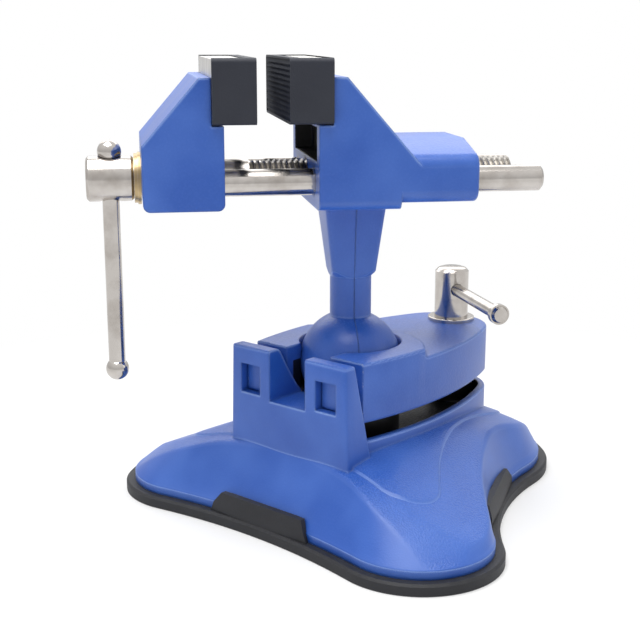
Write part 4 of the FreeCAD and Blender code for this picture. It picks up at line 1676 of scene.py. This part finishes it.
@dataclass
class LeadScrew:
    """The lead screw: the CAD head and plain shank, with a real thread on the rest."""

    finishes: Finishes
    pitch: float = 0.002
    crest_r: float = 0.006
    root_r: float = 0.0048
    thread_start: float = -0.0405
    tip_chamfer: float = 0.0012
    steps_per_turn: int = 8
    sides: int = 40

    def _tree(self) -> NodeTree:
        """Geometry tree of a threaded bar along X, sheared so that its rows follow the helix.

        Returns:
            The geometry tree.
        """
        sheet, given, sink = new_group(
            "threaded_bar",
            {"Start": 0.0, "End": 0.05, "Pitch": 0.002, "Crest": 0.006, "Root": 0.005,
             "Chamfer": 0.001, "Rows": 100, "Sides": 40, "Material": Socket.MATERIAL},
            {"Geometry": Socket.GEOMETRY}, kind="GeometryNodeTree")
        pitch, crest, root = given["Pitch"], given["Crest"], given["Root"]
        grid = sheet.add("GeometryNodeMeshGrid")
        sheet.feed(grid, Size_X=1.0, Size_Y=1.0, Vertices_X=given["Rows"],
                   Vertices_Y=given["Sides"])
        where = sheet.split(sheet.add("GeometryNodeInputPosition").outputs[0])
        row = sheet.math("ADD", where["X"], 0.5)
        turn = sheet.math("ADD", where["Y"], 0.5)
        straight = sheet.times(row, sheet.math("SUBTRACT", given["End"], given["Start"]))
        along = sheet.math("ADD", sheet.math("ADD", given["Start"], straight),
                           sheet.times(turn, pitch))
        phase = sheet.math("FRACT", sheet.math("DIVIDE", straight, pitch))
        tooth = sheet.math("ABSOLUTE", sheet.math("SUBTRACT", sheet.times(phase, 2.0), 1.0))
        rise = sheet.times(sheet.ramp(tooth, low=0.12, high=0.88),
                           sheet.math("SUBTRACT", crest, root))
        left = sheet.math("SUBTRACT", sheet.math("ADD", given["End"], pitch), along)
        taper = sheet.math("ADD", sheet.math("SUBTRACT", crest, given["Chamfer"]), left)
        radius = sheet.math("MINIMUM", sheet.math("ADD", root, rise), taper)
        angle = sheet.times(turn, 2.0 * math.pi)
        place = sheet.add("ShaderNodeCombineXYZ")
        sheet.feed(place, X=along, Y=sheet.times(radius, sheet.math("COSINE", angle)),
                   Z=sheet.times(radius, sheet.math("SINE", angle)))
        shaped = sheet.add("GeometryNodeSetPosition")
        sheet.feed(shaped, Geometry=grid.outputs["Mesh"], Position=place.outputs[0])
        merge = sheet.add("GeometryNodeMergeByDistance")
        sheet.feed(merge, Geometry=shaped.outputs[0], Distance=0.00001)
        sheet.close_geometry(sink, merge.outputs[0], given["Material"])
        return sheet.tree

    def _thread(self) -> None:
        """Build the threaded bar and close both its ends."""
        rod_low, rod_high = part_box("guide_rod_front")
        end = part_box("lead_screw")[1][0] - self.pitch
        turns = int(round((end - self.thread_start) / self.pitch))
        bar = run_tree("lead_screw_thread", self._tree(), {
            "Start": self.thread_start, "End": self.thread_start + turns * self.pitch,
            "Pitch": self.pitch, "Crest": self.crest_r, "Root": self.root_r,
            "Chamfer": self.tip_chamfer, "Rows": turns * self.steps_per_turn + 1,
            "Sides": self.sides + 1, "Material": self.finishes.screw_steel})
        bar.data.transform(Matrix.Translation((0.0, 0.0, (rod_low[2] + rod_high[2]) / 2)))
        with editing(bar.data) as work:
            close_holes(work)
        outward(bar.data)
        shade(bar.data, 38.0)
        finish_piece(bar, self.finishes.screw_steel, "screw")

    def build(self) -> None:
        """Replace the CAD screw with its thread, head and plain shank."""
        self._thread()
        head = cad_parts["lead_screw"].data.copy()
        with editing(head) as work:
            bmesh.ops.remove_doubles(work, verts=work.verts, dist=MERGE_FINE)
            end = Vector((self.thread_start + self.pitch * 1.5, 0.0, 0.0))
            bmesh.ops.bisect_plane(work, geom=work.verts[:] + work.edges[:] + work.faces[:],
                                   plane_co=end, plane_no=Vector((1.0, 0.0, 0.0)),
                                   clear_outer=True)
            close_holes(work)
        shade(head)
        shank = place_object("lead_screw_head", head)
        finish_piece(shank, self.finishes.nickel_x, "screw")
        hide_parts("lead_screw")


@dataclass
class PartingLine:
    """The fine raised line that the mould leaves down the neck, stem and ball."""

    finishes: Finishes
    neck: tuple[Flat, ...] = ((0.0113, 0.1154), (0.0083, 0.0912), (0.00765, 0.0874))
    ball_z: float = 0.055
    ball_r: float = 0.019
    lowest: float = -30.0
    radius: float = 0.00022
    points_on_ball: int = 28

    def _tree(self) -> NodeTree:
        """Geometry tree that lays a thin bead along the mesh's edges.

        Returns:
            The geometry tree.
        """
        sheet, given, sink = new_group(
            "mould_bead",
            {"Geometry": Socket.GEOMETRY, "Radius": 0.0003, "Material": Socket.MATERIAL},
            {"Geometry": Socket.GEOMETRY}, kind="GeometryNodeTree")
        path = sheet.add("GeometryNodeMeshToCurve")
        sheet.plug(path, 0, given["Geometry"])
        ring = sheet.add("GeometryNodeCurvePrimitiveCircle")
        sheet.feed(ring, Resolution=6, Radius=given["Radius"])
        bead = sheet.add("GeometryNodeCurveToMesh")
        sheet.plug(bead, 0, path.outputs[0])
        sheet.plug(bead, 1, ring.outputs["Curve"])
        sheet.feed(bead, Fill_Caps=True)
        sheet.close_geometry(sink, bead.outputs[0], given["Material"])
        return sheet.tree

    def _side(self, sign: float) -> list[Point]:
        """Points down one side of the neck and ball.

        Args:
            sign: 1 for the far side, -1 for the near side.

        Returns:
            The path's points from the top down.
        """
        path = [(0.0, sign * half, z) for half, z in self.neck]
        first = math.acos(self.neck[-1][0] / self.ball_r)
        last = math.radians(self.lowest)
        for step in range(self.points_on_ball + 1):
            angle = first + (last - first) * step / self.points_on_ball
            path.append((0.0, sign * self.ball_r * math.cos(angle),
                         self.ball_z + self.ball_r * math.sin(angle)))
        return path

    def build(self) -> None:
        """Build the line on both sides."""
        corners: list[Point] = []
        edges: list[tuple[int, int]] = []
        for sign in (-1.0, 1.0):
            first = len(corners)
            corners += self._side(sign)
            edges += [(step, step + 1) for step in range(first, len(corners) - 1)]
        mesh = bpy.data.meshes.new("parting_path")
        mesh.from_pydata(corners, edges, [])
        bead = run_tree("neck_parting_line", self._tree(), {
            "Radius": self.radius, "Material": self.finishes.head_paint}, mesh)
        outward(bead.data)
        shade(bead.data, 60.0)
        finish_piece(bead, self.finishes.head_paint, "head")


# ------------------------------------------------------------------ the CAD pieces
@dataclass
class CadDressing:
    """Shading and finishes for the CAD nodes."""

    finishes: Finishes
    merge: float = 0.000002
    smooth_angle: float = 32.0

    def _tree(self) -> NodeTree:
        """Geometry tree that merges loose corners and shades smooth below an angle.

        Returns:
            The geometry tree.
        """
        sheet, given, sink = new_group(
            "soft_shading", {"Geometry": Socket.GEOMETRY, "Merge": self.merge,
                             "Angle": math.radians(self.smooth_angle)},
            {"Geometry": Socket.GEOMETRY}, kind="GeometryNodeTree")
        merge = sheet.add("GeometryNodeMergeByDistance")
        sheet.feed(merge, Geometry=given["Geometry"], Distance=given["Merge"])
        faces = sheet.add("GeometryNodeSetShadeSmooth", domain="FACE")
        sheet.plug(faces, 0, merge.outputs[0])
        bend = sheet.add("GeometryNodeInputMeshEdgeAngle").outputs["Unsigned Angle"]
        sharp = sheet.add("FunctionNodeCompare", data_type="FLOAT", operation="GREATER_THAN")
        sheet.plug(sharp, 0, bend)
        sheet.plug(sharp, 1, given["Angle"])
        edges = sheet.add("GeometryNodeSetShadeSmooth", domain="EDGE")
        for key, value in enumerate((faces.outputs[0], sharp.outputs[0], False)):
            sheet.plug(edges, key, value)
        sheet.plug(sink, 0, edges.outputs[0])
        return sheet.tree

    def _table(self) -> dict[Material, tuple[str, ...]]:
        """Finish of every CAD node.

        Returns:
            Each material with the names of its nodes.
        """
        kit = self.finishes
        return {
            kit.base_paint: ("base_housing",),
            kit.plate_paint: ("clamp_plate",),
            kit.head_paint: ("vise_body", "moving_jaw"),
            kit.pad_rubber: ("suction_pad", "suction_disc"),
            kit.jaw_rubber: ("fixed_jaw_cover", "moving_jaw_cover"),
            kit.jaw_steel: ("fixed_jaw_plate", "moving_jaw_plate"),
            kit.nickel_x: ("guide_rod_front", "guide_rod_rear"),
            kit.nickel_z: ("handle_rod", "handle_ball_upper", "handle_ball_lower",
                           "clamp_screw", "clamp_bar", "clamp_bar_cap_near",
                           "clamp_bar_cap_far", "clamp_washer"),
            kit.screw_steel: ("lead_screw", "fixed_jaw_screws", "moving_jaw_screws"),
            kit.inner_steel: ("lift_lever", "lift_nut", "lever_pin", "stud_pin",
                              "diaphragm_stud", "rod_pins"),
            kit.brass: ("thrust_washer_inner", "thrust_washer_outer"),
            kit.black_steel: ("retaining_clip",),
            kit.nylon: ("ball_seat",),
        }

    def build(self) -> None:
        """Dress and smooth every CAD node."""
        tree = self._tree()
        for material, nodes in self._table().items():
            for node in nodes:
                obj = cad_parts[node]
                dress(obj, material)
                obj.modifiers.new("soft_shading", "NODES").node_group = tree
                log.info("%s dressed in %s", node, material.name)


# ------------------------------------------------------------------ studio
@dataclass(frozen=True)
class Lamp:
    """A soft rectangular lamp, aimed at the vise."""

    name: str
    place: Point
    size: Flat
    watts: float
    aim: Point = (0.0, 0.0, 0.08)

    def build(self) -> None:
        """Hang the lamp and aim it."""
        data = bpy.data.lights.new(self.name, "AREA")
        data.shape = "RECTANGLE"
        data.size, data.size_y = self.size
        data.energy = self.watts
        lamp = place_object(self.name, data)
        lamp.location = self.place
        sight = Vector(self.aim) - Vector(self.place)
        lamp.rotation_euler = sight.to_track_quat("-Z", "Y").to_euler()


@dataclass
class Studio:
    """Camera, pale floor, white air and soft lamps."""

    camera_place: Point = (-0.07905, -0.42827, 0.17325)
    camera_pitch: float = 76.67
    camera_turn: float = -8.97
    lens: float = 67.5
    floor_half: float = 3.0
    floor_z: float = -0.0002
    floor_grey: float = 0.9
    shadow_near: float = 0.11
    shadow_far: float = 0.30
    ambient: float = 0.5
    lamps: tuple[Lamp, ...] = (
        Lamp("top_lamp", (-0.25, -0.15, 1.3), (1.1, 0.9), 17.0),
        Lamp("side_lamp", (1.1, -0.25, 0.55), (0.6, 0.9), 0.8),
        Lamp("back_lamp", (0.1, 1.1, 0.9), (1.8, 0.9), 8.0),
    )

    def _camera(self) -> None:
        """Place the camera."""
        data = bpy.data.cameras.new("studio_camera")
        data.lens = self.lens
        data.sensor_width = 36.0
        data.clip_start = 0.01
        data.clip_end = 20.0
        camera = place_object("studio_camera", data)
        camera.location = self.camera_place
        camera.rotation_euler = (math.radians(self.camera_pitch), 0.0,
                                 math.radians(self.camera_turn))
        bpy.context.scene.camera = camera

    def _air(self) -> None:
        """White surroundings: pure white where they are seen, dimmer as light."""
        world = bpy.data.worlds.new("studio_air")
        world.use_nodes = True
        bpy.context.scene.world = world
        sheet = NodeSheet(world.node_tree)
        rays = sheet.add("ShaderNodeLightPath").outputs
        seen = sheet.math("MAXIMUM", rays["Is Camera Ray"], rays["Is Transmission Ray"])
        direction = sheet.split(sheet.add("ShaderNodeTexCoord").outputs["Generated"])
        height = sheet.ramp(direction["Z"], low=-0.15, high=0.75, start=0.62)
        mirrored = sheet.times(rays["Is Glossy Ray"], height)
        lit = sheet.math("MAXIMUM", sheet.math("MAXIMUM", seen, mirrored), self.ambient)
        sheet.feed(world.node_tree.nodes["Background"], Color=WHITE, Strength=lit)

    def _floor_paint(self) -> Material:
        """Pale grey that glows white further out.

        Returns:
            The floor's material.
        """
        material, sheet, shader, place = start_material("pale_floor")
        grey = self.floor_grey
        sheet.feed(shader, Base_Color=(grey, grey, grey, 1.0), Roughness=0.9,
                   Specular_IOR_Level=0.0)
        distance = sheet.vector_math("LENGTH", place)["Value"]
        far = sheet.ramp(distance, self.shadow_near, self.shadow_far, start=0.35)
        rays = sheet.add("ShaderNodeLightPath").outputs
        shown = sheet.math("MAXIMUM", rays["Is Camera Ray"], rays["Is Glossy Ray"])
        white = sheet.feed(sheet.add("ShaderNodeEmission"), Color=WHITE, Strength=1.0)
        mix = sheet.add("ShaderNodeMixShader")
        for key, value in enumerate((sheet.times(far, shown), shader.outputs[0],
                                     white.outputs[0])):
            sheet.plug(mix, key, value)
        sheet.feed(material.node_tree.nodes["Material Output"], Surface=mix.outputs[0])
        return material

    def _floor(self) -> None:
        """Floor that keeps the shadow near the vise and turns white further out."""
        mesh = bpy.data.meshes.new("studio_floor")
        half = self.floor_half
        corners = ((-half, -half), (half, -half), (half, half), (-half, half))
        mesh.from_pydata([(x, y, self.floor_z) for x, y in corners], [], [(0, 1, 2, 3)])
        mesh.materials.append(self._floor_paint())
        floor = place_object("studio_floor", mesh)

    def build(self) -> None:
        """Build the whole studio."""
        self._camera()
        self._air()
        self._floor()
        for lamp in self.lamps:
            lamp.build()
        bpy.context.scene.view_settings.view_transform = "Standard"
        log.info("studio built with %d lamps", len(self.lamps))


def main() -> None:
    """Build and dress every sub-assembly in order."""
    logging.basicConfig(level=logging.INFO, format="%(name)s: %(message)s")
    Studio().build()
    finishes = Finishes()
    CadDressing(finishes).build()
    LeadScrew(finishes).build()
    BaseCasting(finishes).build()
    ClampPlate(finishes).build()
    SuctionPad(finishes).build()
    FixedJaw(finishes).build()
    jaws = (Jaw("fixed", "head", -1.0), Jaw("moving", "sliding_jaw", 1.0))
    for jaw in jaws:
        JawCap(finishes, jaw).build()
    for jaw in jaws:
        JawTread(finishes, jaw).build()
    PartingLine(finishes).build()


if __name__ == "__main__":
    main()
